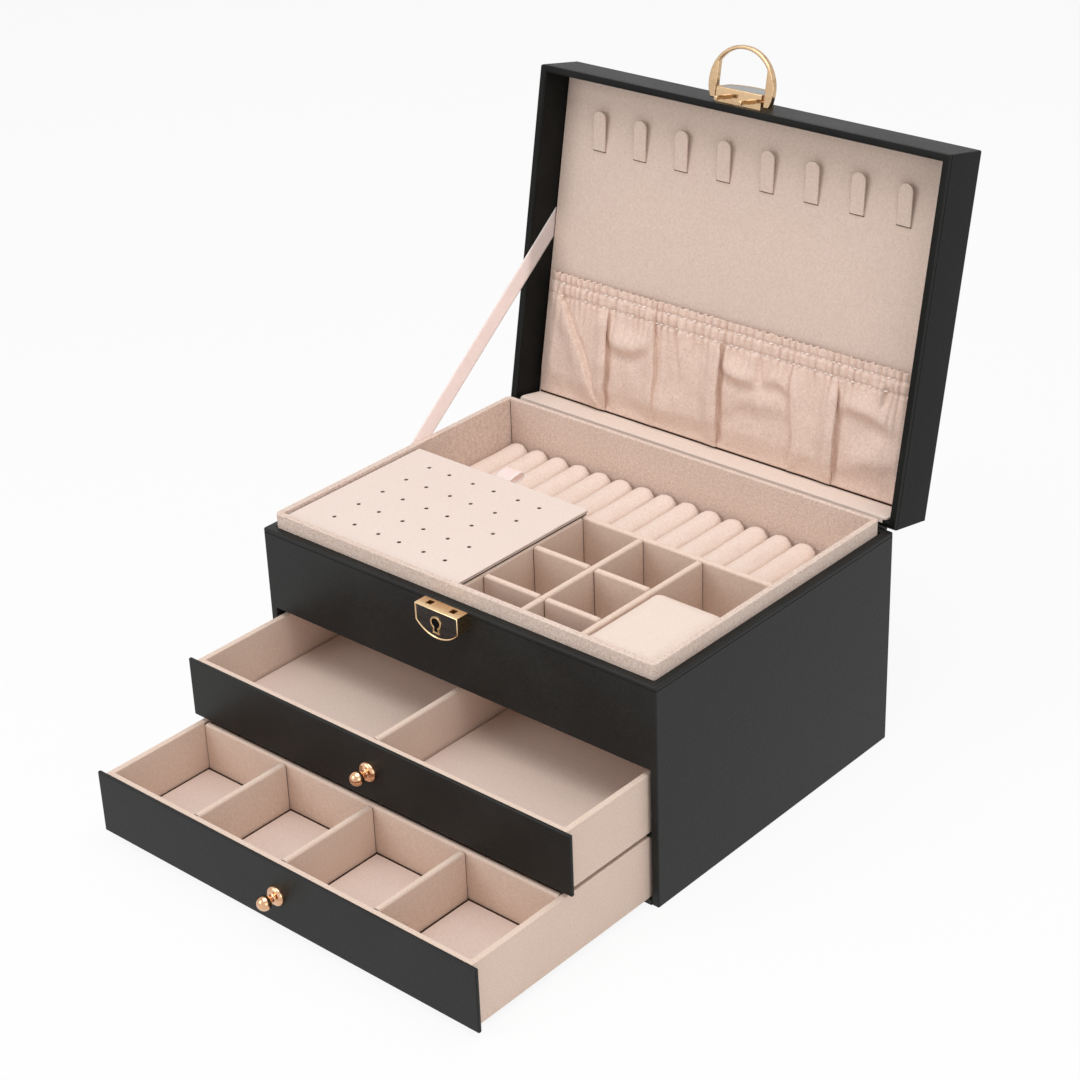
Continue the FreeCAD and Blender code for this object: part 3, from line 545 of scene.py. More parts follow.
def makeTray(look):
    bm, shadeStrips = bmesh.new(), bmesh.new()
    half, gap = look["wall"] / 2, look["gap"]
    z0, z1 = look["floor"], look["top"]
    back, front = look["partition"] - half, look["front"]
    inner, shadeTop = half - look["shadeIn"], z1 - look["edge"] - 0.1
    slab(bm, (-look["halfWidth"] + gap, back, z0), (look["halfWidth"] - gap, back + 2 * half, z1))
    for x in look["uprights"]:
        slab(bm, (x - half, front + gap, z0), (x + half, back - gap, z1))
        # dark strips in the gaps at the wall ends: painted shade
        slab(shadeStrips, (x - inner, front, z0), (x + inner, front + gap, shadeTop))
        slab(shadeStrips, (x - inner, back - gap, z0), (x + inner, back, shadeTop))
    for y in look["crossings"]:
        for x0, x1 in zip(look["uprights"], look["uprights"][1:]):
            slab(bm, (x0 + half + gap, y - half, z0), (x1 - half - gap, y + half, z1))
            slab(shadeStrips, (x0 + half, y - inner, z0), (x0 + half + gap, y + inner, shadeTop))
            slab(shadeStrips, (x1 - half - gap, y - inner, z0), (x1 - half, y + inner, shadeTop))
    soften(bm, corners(bm, lambda c: c.z > (z0 + 1) * mm), look["edge"], 4)
    soften(bm, corners(bm, lambda c: abs(c.x) < (look["halfWidth"] - 1) * mm, 0.9), look["endEdge"], 2)
    piece("traySeams", shadeStrips, shadeVelvet, "case")
    return piece("trayWalls", bm, boardVelvet, "case",
                 ("ring_partition", "cell_wall_left", "cell_wall_middle", "cell_wall_right",
                  "cross_wall_back", "cross_wall_front"), turn=60)


makeTray(trayLook)


# Soft pieces: a closed form is remeshed, blown up as cloth and held inside its seat

clothLook = dict(quality=6, mass=0.0006, stiff=15.0, bending=0.4, frames=20, smoothing=0.5)


def puff(bm, voxel, pressure, reach, low, high, look=clothLook):
    rough = loose(asMesh(bm))
    grid = rough.modifiers.new("grid", "REMESH")
    grid.mode = "VOXEL"
    grid.voxel_size = voxel * mm
    skin = loose(asMesh(settled(rough)))
    drop(rough)
    before = [v.co.copy() for v in skin.data.vertices]
    frames = look["frames"]
    cloth = skin.modifiers.new("cloth", "CLOTH")
    cloth.settings.quality = look["quality"]
    cloth.settings.mass = look["mass"]
    cloth.settings.tension_stiffness = look["stiff"]
    cloth.settings.compression_stiffness = look["stiff"]
    cloth.settings.bending_stiffness = look["bending"]
    cloth.settings.use_pressure = True
    cloth.settings.uniform_pressure_force = pressure
    cloth.settings.effector_weights.gravity = 0
    cloth.point_cache.frame_start = 1
    cloth.point_cache.frame_end = frames
    for frameNow in range(1, frames + 1):
        scene.frame_set(frameNow)
    done = settled(skin)
    drop(skin)
    scene.frame_set(1)
    low, high = Vector(low) * mm, Vector(high) * mm
    for v, start in zip(done.verts, before):
        move = v.co - start
        if move.length > reach * mm:
            move *= reach * mm / move.length
        spot = start + move
        v.co = [min(max(spot[i], low[i]), high[i]) for i in range(3)]
    bmesh.ops.smooth_vert(done, verts=done.verts, factor=look["smoothing"],
                          use_axis_x=True, use_axis_y=True, use_axis_z=True)
    return done


def rounding(made):
    smooth = made.modifiers.new("rounding", "SUBSURF")
    smooth.levels = 1
    smooth.render_levels = 1


rollLook = dict(count=16, pitch=13.5, width=12.5, low=71.0, high=95.3, start=11.2, end=77.4, endRoom=0.6,
                endEdge=1.2, voxel=1.7, pressure=60.0, reach=0.8, wobble=0.3)


def makeRolls(look):
    bm = bmesh.new()
    half = look["width"] / 2 - 0.2
    start, end = look["start"] + look["endRoom"], look["end"] - look["endRoom"]
    slab(bm, (-half, start, look["low"] + 0.2), (half, end, look["high"] - 0.5))
    upper = corners(bm, lambda c: c.z > 90 * mm and near(abs(c.x), half))
    soften(bm, [e for e in upper if span(e, 0) < mm], half - 0.05, 8)
    ends = corners(bm, lambda c: c.z > 75 * mm and (near(c.y, start) or near(c.y, end)), 0.9)
    soften(bm, ends, look["endEdge"], 3)
    roll = puff(bm, look["voxel"], look["pressure"], look["reach"],
                (-look["pitch"] / 2 + 0.1, look["start"], look["low"]),
                (look["pitch"] / 2 - 0.1, look["end"], look["high"]))
    mould, rolls = asMesh(roll), bmesh.new()
    for i in range(look["count"]):
        old = len(rolls.verts)
        rolls.from_mesh(mould)
        rolls.verts.ensure_lookup_table()
        x = (i - (look["count"] - 1) / 2) * look["pitch"] * mm
        for v in rolls.verts[old:]:
            wobble = noise.noise(Vector((i * 7.3, v.co.y * 60, v.co.z * 80)))
            v.co.z = min(v.co.z + look["wobble"] * mm * wobble * (v.co.z > 0.085), look["high"] * mm)
            v.co.x += x
    bpy.data.meshes.remove(mould)
    made = piece("ringRolls", rolls, rollVelvet, "case", ("ring_rolls",), turn=180, even=False)
    return made


makeRolls(rollLook)

pillowLook = dict(low=(68.2, -77.4, 71.2), high=(107.4, -25.4, 113.4), corner=4.4, edge=2.4, footEdge=1.5,
                  voxel=1.5, pressure=45.0, reach=0.6, inset=0.5)


def makePillow(look):
    bm = bmesh.new()
    low = [c + look["inset"] for c in look["low"]]
    high = [c - look["inset"] for c in look["high"]]
    slab(bm, low, high)
    soften(bm, [e for e in corners(bm) if span(e, 2) > 5 * mm], look["corner"], 5)
    soften(bm, corners(bm, lambda c: near(c.z, high[2])), look["edge"], 5)
    soften(bm, corners(bm, lambda c: near(c.z, low[2])), look["footEdge"], 3)
    blown = puff(bm, look["voxel"], look["pressure"], look["reach"], look["low"], look["high"])
    made = piece("pillowCushion", blown, pillowVelvet, "cushion", ("pillow",),
                 turn=180, even=False)
    rounding(made)
    return made


makePillow(pillowLook)


# Pin board: two wrapped layers, pricked in pairs, with a ribbon pull

pinLook = dict(low=(-107.3, -77.3, 111.9), high=(-1.0, 11.0, 114.5), cover=0.9, edge=0.45, radius=1.05,
               pairs=3, pairGap=13.0, pairPitch=28.0, rows=5, rowPitch=15.75, drill=4.4,
               shadeCone=1.5, shadeConeDrop=1.1, shadeConeTaper=(0.6, 1.04), segments=16)


def makePinBoard(look):
    bm = bmesh.new()
    x0, y0, z0 = look["low"]
    x1, y1, z1 = look["high"]
    slab(bm, (x0, y0, z1 - look["cover"]), (x1, y1, z1))
    slab(bm, (x0 + 0.2, y0 + 0.2, z0 + 0.75), (x1 - 0.2, y1 - 0.2, z1 - look["cover"] - 0.25))
    soften(bm, corners(bm, lambda c: near(c.z, z1)), look["edge"], 4)
    soften(bm, corners(bm, lambda c: c.z < (z1 - look["cover"] + 0.1) * mm, 0.9), 0.2, 2)
    drill, holeShade = bmesh.new(), bmesh.new()
    # painted shade: a dark core below the lower layer, a dark sheet between the layers and dark cones in the
    # holes, where there is only shadow
    slab(holeShade, (x0 + 0.6, y0 + 0.6, z0), (x1 - 0.6, y1 - 0.6, z0 + 0.75))
    slab(holeShade, (x0 + 0.5, y0 + 0.5, z1 - look["cover"] - 0.25), (x1 - 0.5, y1 - 0.5, z1 - look["cover"]))
    midX, midY = (x0 + x1) / 2, (y0 + y1) / 2
    radius, (tip, mouth) = look["radius"] * mm, look["shadeConeTaper"]
    for pair in range(look["pairs"]):
        for side in (-0.5, 0.5):
            x = midX + (pair - (look["pairs"] - 1) / 2) * look["pairPitch"] + side * look["pairGap"]
            for row in range(look["rows"]):
                y = midY + (row - (look["rows"] - 1) / 2) * look["rowPitch"]
                spot = Matrix.Translation(Vector((x, y, z1)) * mm)
                bmesh.ops.create_cone(drill, cap_ends=True, segments=look["segments"], radius1=radius,
                                      radius2=radius, depth=look["drill"] * mm, matrix=spot)
                shadeCone = Matrix.Translation(Vector((x, y, z1 - look["shadeConeDrop"])) * mm)
                bmesh.ops.create_cone(holeShade, cap_ends=True, segments=look["segments"], radius1=tip * radius,
                                      radius2=mouth * radius, depth=look["shadeCone"] * mm, matrix=shadeCone)
    bm = carve(bm, drill)
    piece("pinHoleShade", holeShade, shadeVelvet, "board", turn=50)
    return piece("pinBoard", bm, pinVelvet, "board", ("pin_board",), turn=50)


makePinBoard(pinLook)

pullLook = dict(left=-58.95, width=9.6, start=11.0, reach=8.6, middle=113.2, radius=2.0,
                thickness=0.35, steps=8)


def makePull(look):
    bm = bmesh.new()
    marks = bm.loops.layers.uv.new("ribbon")
    left, steps = look["left"], look["steps"]
    y0, y1, z = look["start"] - 1.5, look["start"] + look["reach"], look["middle"]
    path = ((y0, 0.35), (y0 + 1.5, 0.4), (y1 - 5, 1.5), (y1 - 2, 1.9))  # place, and height over the middle
    chain = [dot(bm, left, y, z + h) for y, h in (*path, (y1, look["radius"]))]
    join(bm, *chain)
    last = arc(bm, chain[-1], (left, y1, z), (-1, 0, 0), math.pi, steps)
    join(bm, last, *[dot(bm, left, y, z - h) for y, h in reversed(path)])
    strip = list(bm.edges)
    for step in range(steps):
        made = bmesh.ops.extrude_edge_only(bm, edges=strip)["geom"]
        shift(bm, vertsOf(made), x=look["width"] / steps)
        strip = [g for g in made if isinstance(g, bmesh.types.BMEdge) and span(g, 0) < 1e-7]
    for f in bm.faces:
        for corner in f.loops:
            co = corner.vert.co / mm
            corner[marks].uv = ((co.x - left) / look["width"], (co.y + co.z * 0.6) * mm)
    made = piece("pullLoop", bm, palePinkSatin, "board", ("pin_board_pull",), turn=180, even=False)
    thickness(made, look["thickness"])
    return made


makePull(pullLook)


# Drawers: velvet box, leatherette front, pads, knob

drawerLooks = dict(
    upper=dict(front=-138.1, boxFront=-136.3, boxBack=23.7, bottom=36.0, top=64.6, frontLow=35.5,
               frontHigh=65.1, floor=38.0, pad=2.9, cross=None, dividers=(0.0,), knob=50.3),
    lower=dict(front=-195.8, boxFront=-194.0, boxBack=-34.0, bottom=3.1, top=33.7, frontLow=2.9,
               frontHigh=34.1, floor=5.1, pad=4.7, cross=-138.8, dividers=(-54.0, 0.0, 54.0), knob=18.5))
drawerBuild = dict(halfWidth=109.6, wall=3.0, innerFront=2.8, frontHalf=113.25, frontEdge=0.55, boxEdge=1.1,
                   boxCorner=0.7, divider=3.2, dividerEdge=1.3, dividerDrop=0.4, endEdge=0.3, gap=0.4,
                   frontGap=0.75, shadeIn=0.35, shadeDrop=0.3, padGap=0.9, padEdge=0.6, padCrown=0.25,
                   padCuts=11, padLine=0.45)


def makeDrawerFront(name, look, build):
    bm = bmesh.new()
    slab(bm, (-build["frontHalf"], look["front"], look["frontLow"]),
         (build["frontHalf"], look["boxFront"] - 0.02, look["frontHigh"]))
    soften(bm, corners(bm), build["frontEdge"], 3)
    return piece(name + "FrontPanel", bm, blackLeather, name + "_drawer",
                 (name + "_front",))


def makeDrawerBox(name, look, build):
    bm = bmesh.new()
    w = build["halfWidth"]
    sleeve(bm, (-w, look["boxFront"], look["bottom"]), (w, look["boxBack"], look["top"]), build["wall"],
           frontThinner=build["wall"] - build["innerFront"])
    sides = corners(bm, lambda c: near(abs(c.x), w))
    soften(bm, [e for e in sides if span(e, 2) > mm], build["boxCorner"], 3)
    soften(bm, corners(bm, lambda c: near(c.z, look["top"])), build["boxEdge"], 4)
    return piece(name + "Box", bm, boardVelvet, name + "_drawer",
                 (name + "_sides", name + "_inner_front", name + "_back"), turn=60)


def drawerCells(look, build):  # the cells' sides, in mm: left, right, front, back
    x = build["halfWidth"] - build["wall"]
    front, back = look["boxFront"] + build["innerFront"], look["boxBack"] - build["wall"]
    half = build["divider"] / 2
    split = look["cross"] if look["cross"] is not None else back
    edges = [-x] + [v for d in look["dividers"] for v in (d - half, d + half)] + [x]
    cells = [(edges[i], edges[i + 1], front, split) for i in range(0, len(edges), 2)]
    if look["cross"] is not None:
        cells.append((-x, x, look["cross"] + build["divider"], back))
    return cells


def makeDividers(name, look, build):
    bm, shadeStrips = bmesh.new(), bmesh.new()
    x = build["halfWidth"] - build["wall"]
    front, back = look["boxFront"] + build["innerFront"], look["boxBack"] - build["wall"]
    half, gap, top = build["divider"] / 2, build["gap"], look["top"] - build["dividerDrop"]
    trim, low, shadeTop = build["shadeIn"], look["floor"], top - build["shadeDrop"]
    inner = half - trim
    backTop, edging = top - build["dividerEdge"] - 0.1, build["padGap"] - 0.05
    nodes = [name + "_dividers"]
    if look["cross"] is not None:
        back, far = look["cross"], look["cross"] + build["divider"]
        slab(bm, (-x + gap, back, low), (x - gap, far, top))
        slab(shadeStrips, (-x, back + trim, low), (-x + gap, far - trim, shadeTop))
        slab(shadeStrips, (x - gap, back + trim, low), (x, far - trim, shadeTop))
        nodes.append(name + "_cross_wall")
    for at in look["dividers"]:
        slab(bm, (at - half, front + build["frontGap"], low), (at + half, back - gap, top))
        # dark strips in the gaps at each divider's ends: painted shade
        slab(shadeStrips, (at - inner, front, low), (at + inner, front + build["frontGap"], shadeTop))
        slab(shadeStrips, (at - inner, back - gap, low), (at + inner, back, backTop))
    frontCells = drawerCells(look, build)[:-1] if look["cross"] is not None else ()
    for x0, x1, y0, y1 in frontCells:  # painted shade: dark lines round the pads in front of the cross wall
        line = low + look["pad"] - build["padLine"]
        for a, b in ((x0, x0 + edging), (x1 - edging, x1)):
            slab(shadeStrips, (a, y0, low), (b, y1, line))
        slab(shadeStrips, (x0 + edging + 0.02, y1 - edging, low), (x1 - edging - 0.02, y1, line))
    soften(bm, corners(bm, lambda c: c.z > (low + 1) * mm), build["dividerEdge"], 4)
    soften(bm, corners(bm, None, 0.9), build["endEdge"], 2)
    piece(name + "Seams", shadeStrips, shadeVelvet, name + "_drawer")
    return piece(name + "Dividers", bm, boardVelvet, name + "_drawer", nodes, turn=60)


def makePads(name, look, build):
    bm = bmesh.new()
    gap = build["padGap"]
    low, top = look["floor"], look["floor"] + look["pad"] - build["padCrown"]
    for left, right, front, back in drawerCells(look, build):
        pad = bmesh.new()
        slab(pad, (left + gap, front + gap, low), (right - gap, back - gap, top))
        level = [e for e in pad.edges if near(e.verts[0].co.z, e.verts[1].co.z / mm)]
        bmesh.ops.subdivide_edges(pad, edges=level, cuts=build["padCuts"], use_grid_fill=True)
        soften(pad, corners(pad, lambda c: c.z > (low + 0.2) * mm), build["padEdge"], 3)
        spread = Vector(((right - left) / 2, (back - front) / 2)) * mm
        for v in pad.verts:
            u = (v.co.x - (left + right) / 2 * mm) / spread.x
            t = (v.co.y - (front + back) / 2 * mm) / spread.y
            if v.co.z > (low + 1) * mm:
                v.co.z += build["padCrown"] * mm * max(0, 1 - u ** 6) * max(0, 1 - t ** 6)
        mould = asMesh(pad)
        bm.from_mesh(mould)
        bpy.data.meshes.remove(mould)
    made = piece(name + "Pads", bm, padVelvet, name + "_drawer", (name + "_pads",), turn=60)
    return made


knobLook = dict(profile=((4.7, 0.0), (4.7, 0.9), (4.55, 1.5), (4.1, 2.0), (3.3, 2.35), (2.4, 2.55),
                         (1.9, 2.8), (1.7, 3.3), (1.7, 3.9), (1.8, 4.25)),
                ball=7.24, radius=3.4, lean=35, steps=48, ballSteps=14)


def makeKnob(name, look, build):
    bm = bmesh.new()
    face, height, ball, radius = look["front"], look["knob"], build["ball"], build["radius"]
    lean = math.radians(build["lean"])
    outline = (*build["profile"], (radius * math.sin(lean), ball - radius * math.cos(lean)))
    chain = [dot(bm, r, face - out, height) for r, out in outline]
    join(bm, *chain)
    arc(bm, chain[-1], (0, face - ball, height), (0, 0, -1), math.pi - lean, build["ballSteps"])
    bmesh.ops.spin(bm, geom=list(bm.verts) + list(bm.edges), cent=Vector((0, face, height)) * mm,
                   axis=(0, 1, 0), angle=2 * math.pi, steps=build["steps"], use_merge=True)
    bmesh.ops.remove_doubles(bm, verts=bm.verts, dist=1e-6)
    flat = [e for e in bm.edges if e.is_boundary]
    bmesh.ops.contextual_create(bm, geom=flat)
    return piece(name + "Knob", bm, rosePlate, name + "_drawer", (name + "_knob",),
                 turn=50, even=False)


for drawerName, drawerLook in drawerLooks.items():
    makeDrawerFront(drawerName, drawerLook, drawerBuild)
    makeDrawerBox(drawerName, drawerLook, drawerBuild)
    makeDividers(drawerName, drawerLook, drawerBuild)
    makePads(drawerName, drawerLook, drawerBuild)
    makeKnob(drawerName, drawerLook, knobLook)


# Lid inside: padded lining, necklace tabs, gathered pocket

liningLook = dict(halfWidth=111.5, front=-81.5, back=81.5, face=126.5, ceiling=132.0, edge=0.8)


def makeLining(look):
    bm = bmesh.new()
    w = look["halfWidth"]
    slab(bm, (-w, look["front"], look["face"]), (w, look["back"], look["ceiling"]))
    soften(bm, corners(bm, lambda c: near(c.z, look["face"])), look["edge"], 4)
    openLid(bm)
    made = piece("liningPanel", bm, liningVelvet, "lid", ("lid_lining",), turn=60)
    return made


makeLining(liningLook)

stripLook = dict(halfWidth=110.0, front=80.3, back=81.6, low=109.5, high=126.5, corner=3.0, edge=0.35,
                 under=109.13, turn=82.7, underIn=1.5, cover=0.14, gapFront=1.1, gapBack=0.2)


def makeStrip(look):  # covered board along the hinge side, its cover turned under the rim
    bm = bmesh.new()
    w = look["halfWidth"]
    slab(bm, (-w, look["front"], look["low"]), (w, look["back"], look["high"]))
    ends = corners(bm, lambda c: near(abs(c.x), w) and near(c.z, look["low"]))
    soften(bm, [e for e in ends if span(e, 1) > 1 * mm], look["corner"], 6)
    soften(bm, corners(bm, lambda c: c.z < (look["high"] - 0.1) * mm, 0.9), look["edge"], 3)
    short = w - look["underIn"]
    slab(bm, (-short, look["front"], look["under"]), (short, look["turn"], look["under"] + look["cover"]))
    # painted shade: a dark strip along the top of the strip, where the gap under the pocket hem is in shadow
    gap = bmesh.new()
    slab(gap, (-w, look["front"] - look["gapFront"], look["high"] - 0.15),
         (w, look["front"] + look["gapBack"], look["high"] + 0.2))
    openLid(bm)
    openLid(gap)
    piece("hemGapShade", gap, shadeVelvet, "lid")
    return piece("hingeStrip", bm, stripVelvet, "lid", ("hinge_liner",), turn=60)


makeStrip(stripLook)

hookLook = dict(count=8, pitch=25.0, width=7.3, length=19.0, thickness=1.1, base=-47.5, lean=7.3, edge=0.3,
                root=0.6, slit=0.6, slitPast=0.7)


def makeHooks(look):
    bm = bmesh.new()
    slitShade = bmesh.new()
    half, face, middle = look["width"] / 2, liningLook["face"], (look["count"] - 1) / 2
    tip, root = look["base"] - look["length"], look["base"] + look["root"]
    for i in range(look["count"]):
        x = (i - middle) * look["pitch"]
        tab = slab(bm, (x - half, tip, face - look["thickness"]), (x + half, root, face - 0.05))
        ends = [e for e in bm.edges if all(v in tab and near(v.co.y, tip) for v in e.verts)]
        soften(bm, [e for e in ends if span(e, 2) > 0.5 * mm], half - 0.05, 7)
        # painted shade: a dark slab at each tab's root, standing in for the shadowed slit
        slab(slitShade, (x - half - look["slitPast"], root, face - 0.12),
             (x + half, root + look["slit"], face + 0.3))
    soften(bm, corners(bm, None, 0.9), look["edge"], 2)
    pivots = {}
    for v in bm.verts:
        pivots.setdefault(round(v.co.x / mm / look["pitch"] + middle), []).append(v)
    for tab in pivots.values():
        bmesh.ops.rotate(bm, verts=tab, cent=Vector((0, look["base"], face)) * mm,
                         matrix=Matrix.Rotation(math.radians(look["lean"]), 3, "X"))
    soften(slitShade, corners(slitShade), 0.08, 1)
    openLid(bm)
    openLid(slitShade)
    piece("necklaceTabs", bm, liningVelvet, "lid", ("necklace_hooks",), turn=50)
    piece("tabSlitShade", slitShade, shadeVelvet, "lid")


makeHooks(hookLook)

pocketLook = dict(
    half=110.0, top=17.0, gather=30.0, hem=79.2, columns=460, rows=84, thickness=0.35, ruffle=4.4,
    stitchRows=(21.6, 27.9), band=2.2, belly=3.0, edge=0.4,
    tube=(2.0, 0.9),  # height of the ruffles, and how much it varies
    pinch=(0.8, 0.8, 0.3),  # width and depth at a row of stitches, and how much flatter the ruffles are there
    slack=(0.9, 0.5, 0.12),  # broad, small and fine unevenness
    # folds: points down the fold, side it falls to, height, widths of both slopes, lap, share lost on the way
    folds=(
        (((-101.3, 27.5), (-86.9, 49.7), (-72.4, 75.6)), 1, 2.0, 1.2, 9.0, 0.7, 0.3),
        (((-70.4, 30.0), (-70.6, 40.0), (-68.8, 57.0), (-68.1, 78.0)), 1, 2.6, 0.7, 5.0, 2.5, 0.2),
        (((-43.0, 24.0), (-40.8, 32.7), (-38.2, 56.0), (-36.8, 77.0)), 1, 1.9, 0.8, 6.0, 1.5, 0.6),
        (((-26.9, 26.5), (-21.7, 52.0)), -1, 1.5, 1.6, 5.0, 0.0, 1.0),
        (((-1.7, 29.0), (-1.0, 46.0), (1.4, 78.0)), 1, 2.8, 0.7, 6.0, 2.6, 0.2),
        (((19.8, 29.0), (23.6, 47.5)), 1, 1.5, 1.8, 4.5, 0.0, 1.0),
        (((41.5, 32.5), (43.5, 49.0), (46.2, 60.0), (46.5, 69.0), (44.0, 78.0)), -1, 1.9, 1.0, 6.0, 0.5, 0.4),
        (((66.0, 33.0), (67.4, 63.0), (67.6, 78.0)), 1, 2.7, 0.7, 6.0, 2.5, 0.2),
        (((91.0, 26.0), (91.5, 36.0)), 1, 1.6, 0.9, 4.0, 0.0, 1.0)),
    # swags: ends, sag, height, widths above and below
    swags=(
        ((-70.0, 41.0), (-40.0, 36.5), 5.0, 3.2, 7.0, 3.4),
        ((-1.0, 36.0), (23.0, 39.5), 3.0, 3.2, 6.0, 3.2),
        ((23.0, 41.0), (43.0, 42.0), -3.5, 1.8, 6.0, 3.0),
        ((67.0, 40.5), (101.0, 44.5), -3.0, 3.1, 6.5, 3.6),
        ((-66.0, 62.0), (-8.0, 66.0), 3.0, 1.3, 9.0, 6.0),
        ((2.0, 58.0), (42.0, 50.0), -3.0, 1.6, 8.0, 4.5),
        ((70.0, 68.0), (106.0, 60.0), -2.0, 2.0, 8.0, 5.0)))


def fade(value, low, high):
    t = min(max((value - low) / (high - low), 0.0), 1.0)
    return t * t * (3 - 2 * t)


def swell(x, y, z):  # soft noise, about -1 to 1
    return noise.noise(Vector((x, y, z)))


def between(run, at, along):  # where a run of points passes a given place
    for a, b in zip(run, run[1:]):
        if at <= b[along] or b == run[-1]:
            return a[1 - along] + (at - a[along]) / (b[along] - a[along]) * (b[1 - along] - a[1 - along])


def ridge(past, steep, long):  # 1 on the ridge, steep beyond it and long before it
    return math.exp(-(past / (steep if past > 0 else long)) ** 2)


def pocketCloth(x, y, look):  # how far the cloth stands off the lining and slips sideways, in mm
    down = min(max((y - look["gather"]) / (look["hem"] - look["gather"]), 0.0), 1.0)
    hem = fade(look["hem"] - y, 0, 5)
    phase = x / look["ruffle"] + 1.1 * swell(x * 0.045, 3.1, 0) + 0.3 * swell(x * 0.16, 8.7, 0)
    tube = abs(math.sin(math.pi * (phase + 0.014 * (y - 24) * swell(x * 0.09, 5.5, 0)))) ** 0.7
    high, vary = look["tube"]
    size = high + vary * swell(x * 0.12, 1.7, 0)
    if y < look["gather"]:
        ruffled = size * (1.0 + 0.2 * fade(look["stitchRows"][0] - y, 0, 3))
        lift = look["band"] + 0.4 * math.sin(math.pi * (y - 17) / 13)
    else:
        ruffled = size * math.exp(-(y - look["gather"]) / (4.0 + 16.0 * abs(swell(x * 0.15, 9.2, 0))))
        lift = look["band"] + (look["belly"] - look["band"]) * math.sin(math.pi * min(down * 0.9, 1.0)) ** 0.8
        lift *= 1 - 0.8 * fade(down, 0.75, 1.0)
    pinchWidth, pinchDepth, flatter = look["pinch"]
    for row in look["stitchRows"]:
        pinch = math.exp(-((y - row) / pinchWidth) ** 2)
        lift -= pinchDepth * pinch
        ruffled *= 1 - flatter * pinch
    stand = lift + ruffled * (tube - 0.6)
    slack = fade(y, look["gather"] - 1, look["gather"] + 10) * hem
    broad, small, fine = look["slack"]
    stand += slack * (broad * swell(x * 0.06 + 4, y * 0.05, 2.0) + small * swell(x * 0.15, y * 0.1, 6.0))
    stand += slack * fine * swell(x * 0.5, y * 0.35, 1.0)
    slip = 0.0
    for run, way, high, steep, long, lap, lost in look["folds"]:
        s = (y - run[0][1]) / (run[-1][1] - run[0][1])
        if -0.2 < s < 1.1:
            past = way * (x - between(run, y, 1) - 0.5 * swell(y * 0.13, run[0][0], 0.0)) + 0.6
            share = fade(s, -0.15, 0.14) * (1 - lost * fade(s, 0.5, 1.05)) * (0.35 + 0.65 * hem)
            stand += share * high * (ridge(past, steep, long) - 0.5 * ridge(past - 2.2, 1.9, 1.3))
            slip += way * share * lap * (ridge(past, 0.8, 0.8) - 0.5 * ridge(past - 1.8, 0.9, 0.9))
    for (x0, y0), (x1, y1), sag, high, above, below in look["swags"]:  # rolls hanging between folds
        s = (x - x0) / (x1 - x0)
        if 0 < s < 1:
            past = y - (y0 + s * (y1 - y0) + 4 * sag * s * (1 - s)) - 1.2 * swell(x * 0.1, x0, 3.0)
            share = high * math.sin(math.pi * s) ** 0.8 * hem
            stand += share * (ridge(past, below, above) - 0.35 * ridge(past - 1.7 * below, below, below))
    sides = fade(look["half"] - abs(x), 0, 8)
    return max(look["edge"] + (stand - look["edge"]) * (0.3 + 0.7 * sides), look["edge"]), slip * sides


def makePocket(look):
    bm = bmesh.new()
    bmesh.ops.create_grid(bm, x_segments=look["columns"], y_segments=look["rows"], size=1)
    face = liningLook["face"]
    for v in bm.verts:
        x = v.co.x * look["half"]
        y = look["top"] + (v.co.y + 1) / 2 * (look["hem"] - look["top"])
        stand, slip = pocketCloth(x, y, look)
        scallop = 0.35 * math.sin(x * 1.65 + 2 * swell(x * 0.1, 0, 2)) * fade(look["top"] + 2.5 - y, 0, 2.5)
        v.co = Vector((x + slip, y + scallop, face - stand)) * mm
    area = sum(f.calc_area() for f in bm.faces)
    openLid(bm)
    made = piece("gatheredPocket", bm, pocketVelvet, "lid", ("pocket_cloth", "pocket_band"),
                 turn=180, even=False)
    thickness(made, look["thickness"])
    print("pocket cloth area", round(area, 6))
    return made


stitchLook = dict(length=2.1, vary=0.4, stray=0.25, off=0.42, fullness=0.55, width=0.4, height=0.3, gap=0.9)


def makeStitches(look, build):
    bm = bmesh.new()
    face = liningLook["face"]
    for row in look["stitchRows"]:
        x = -look["half"] + 3
        while x < look["half"] - 4:
            length = build["length"] + build["vary"] * swell(x * 0.7, row, 0)
            y = row + build["stray"] * swell(x * 0.2, row, 4)
            ends = [Vector((at, y, face - pocketCloth(at, y, look)[0] - build["off"])) * mm
                    for at in (x, x + length)]
            way = (ends[1] - ends[0]).to_track_quat("X", "Z").to_matrix().to_4x4()
            size = length * build["fullness"] * mm, build["width"] * mm, build["height"] * mm, 1
            spot = Matrix.Translation((ends[0] + ends[1]) / 2) @ way @ Matrix.Diagonal(size)
            bmesh.ops.create_icosphere(bm, subdivisions=1, radius=1, matrix=spot)
            x += length + build["gap"]
    openLid(bm)
    return piece("pocketStitches", bm, threadVelvet, "lid", turn=180, even=False)


pocket = makePocket(pocketLook)
stitches = makeStitches(pocketLook, stitchLook)


# Ribbon stay between the neck and the lid

stayLook = dict(side=-111.3, width=9.6, neck=(17.1, 116.0), lid=(119.54, 196.01), foot=109.3,
                columns=8, steps=90, thickness=0.28)


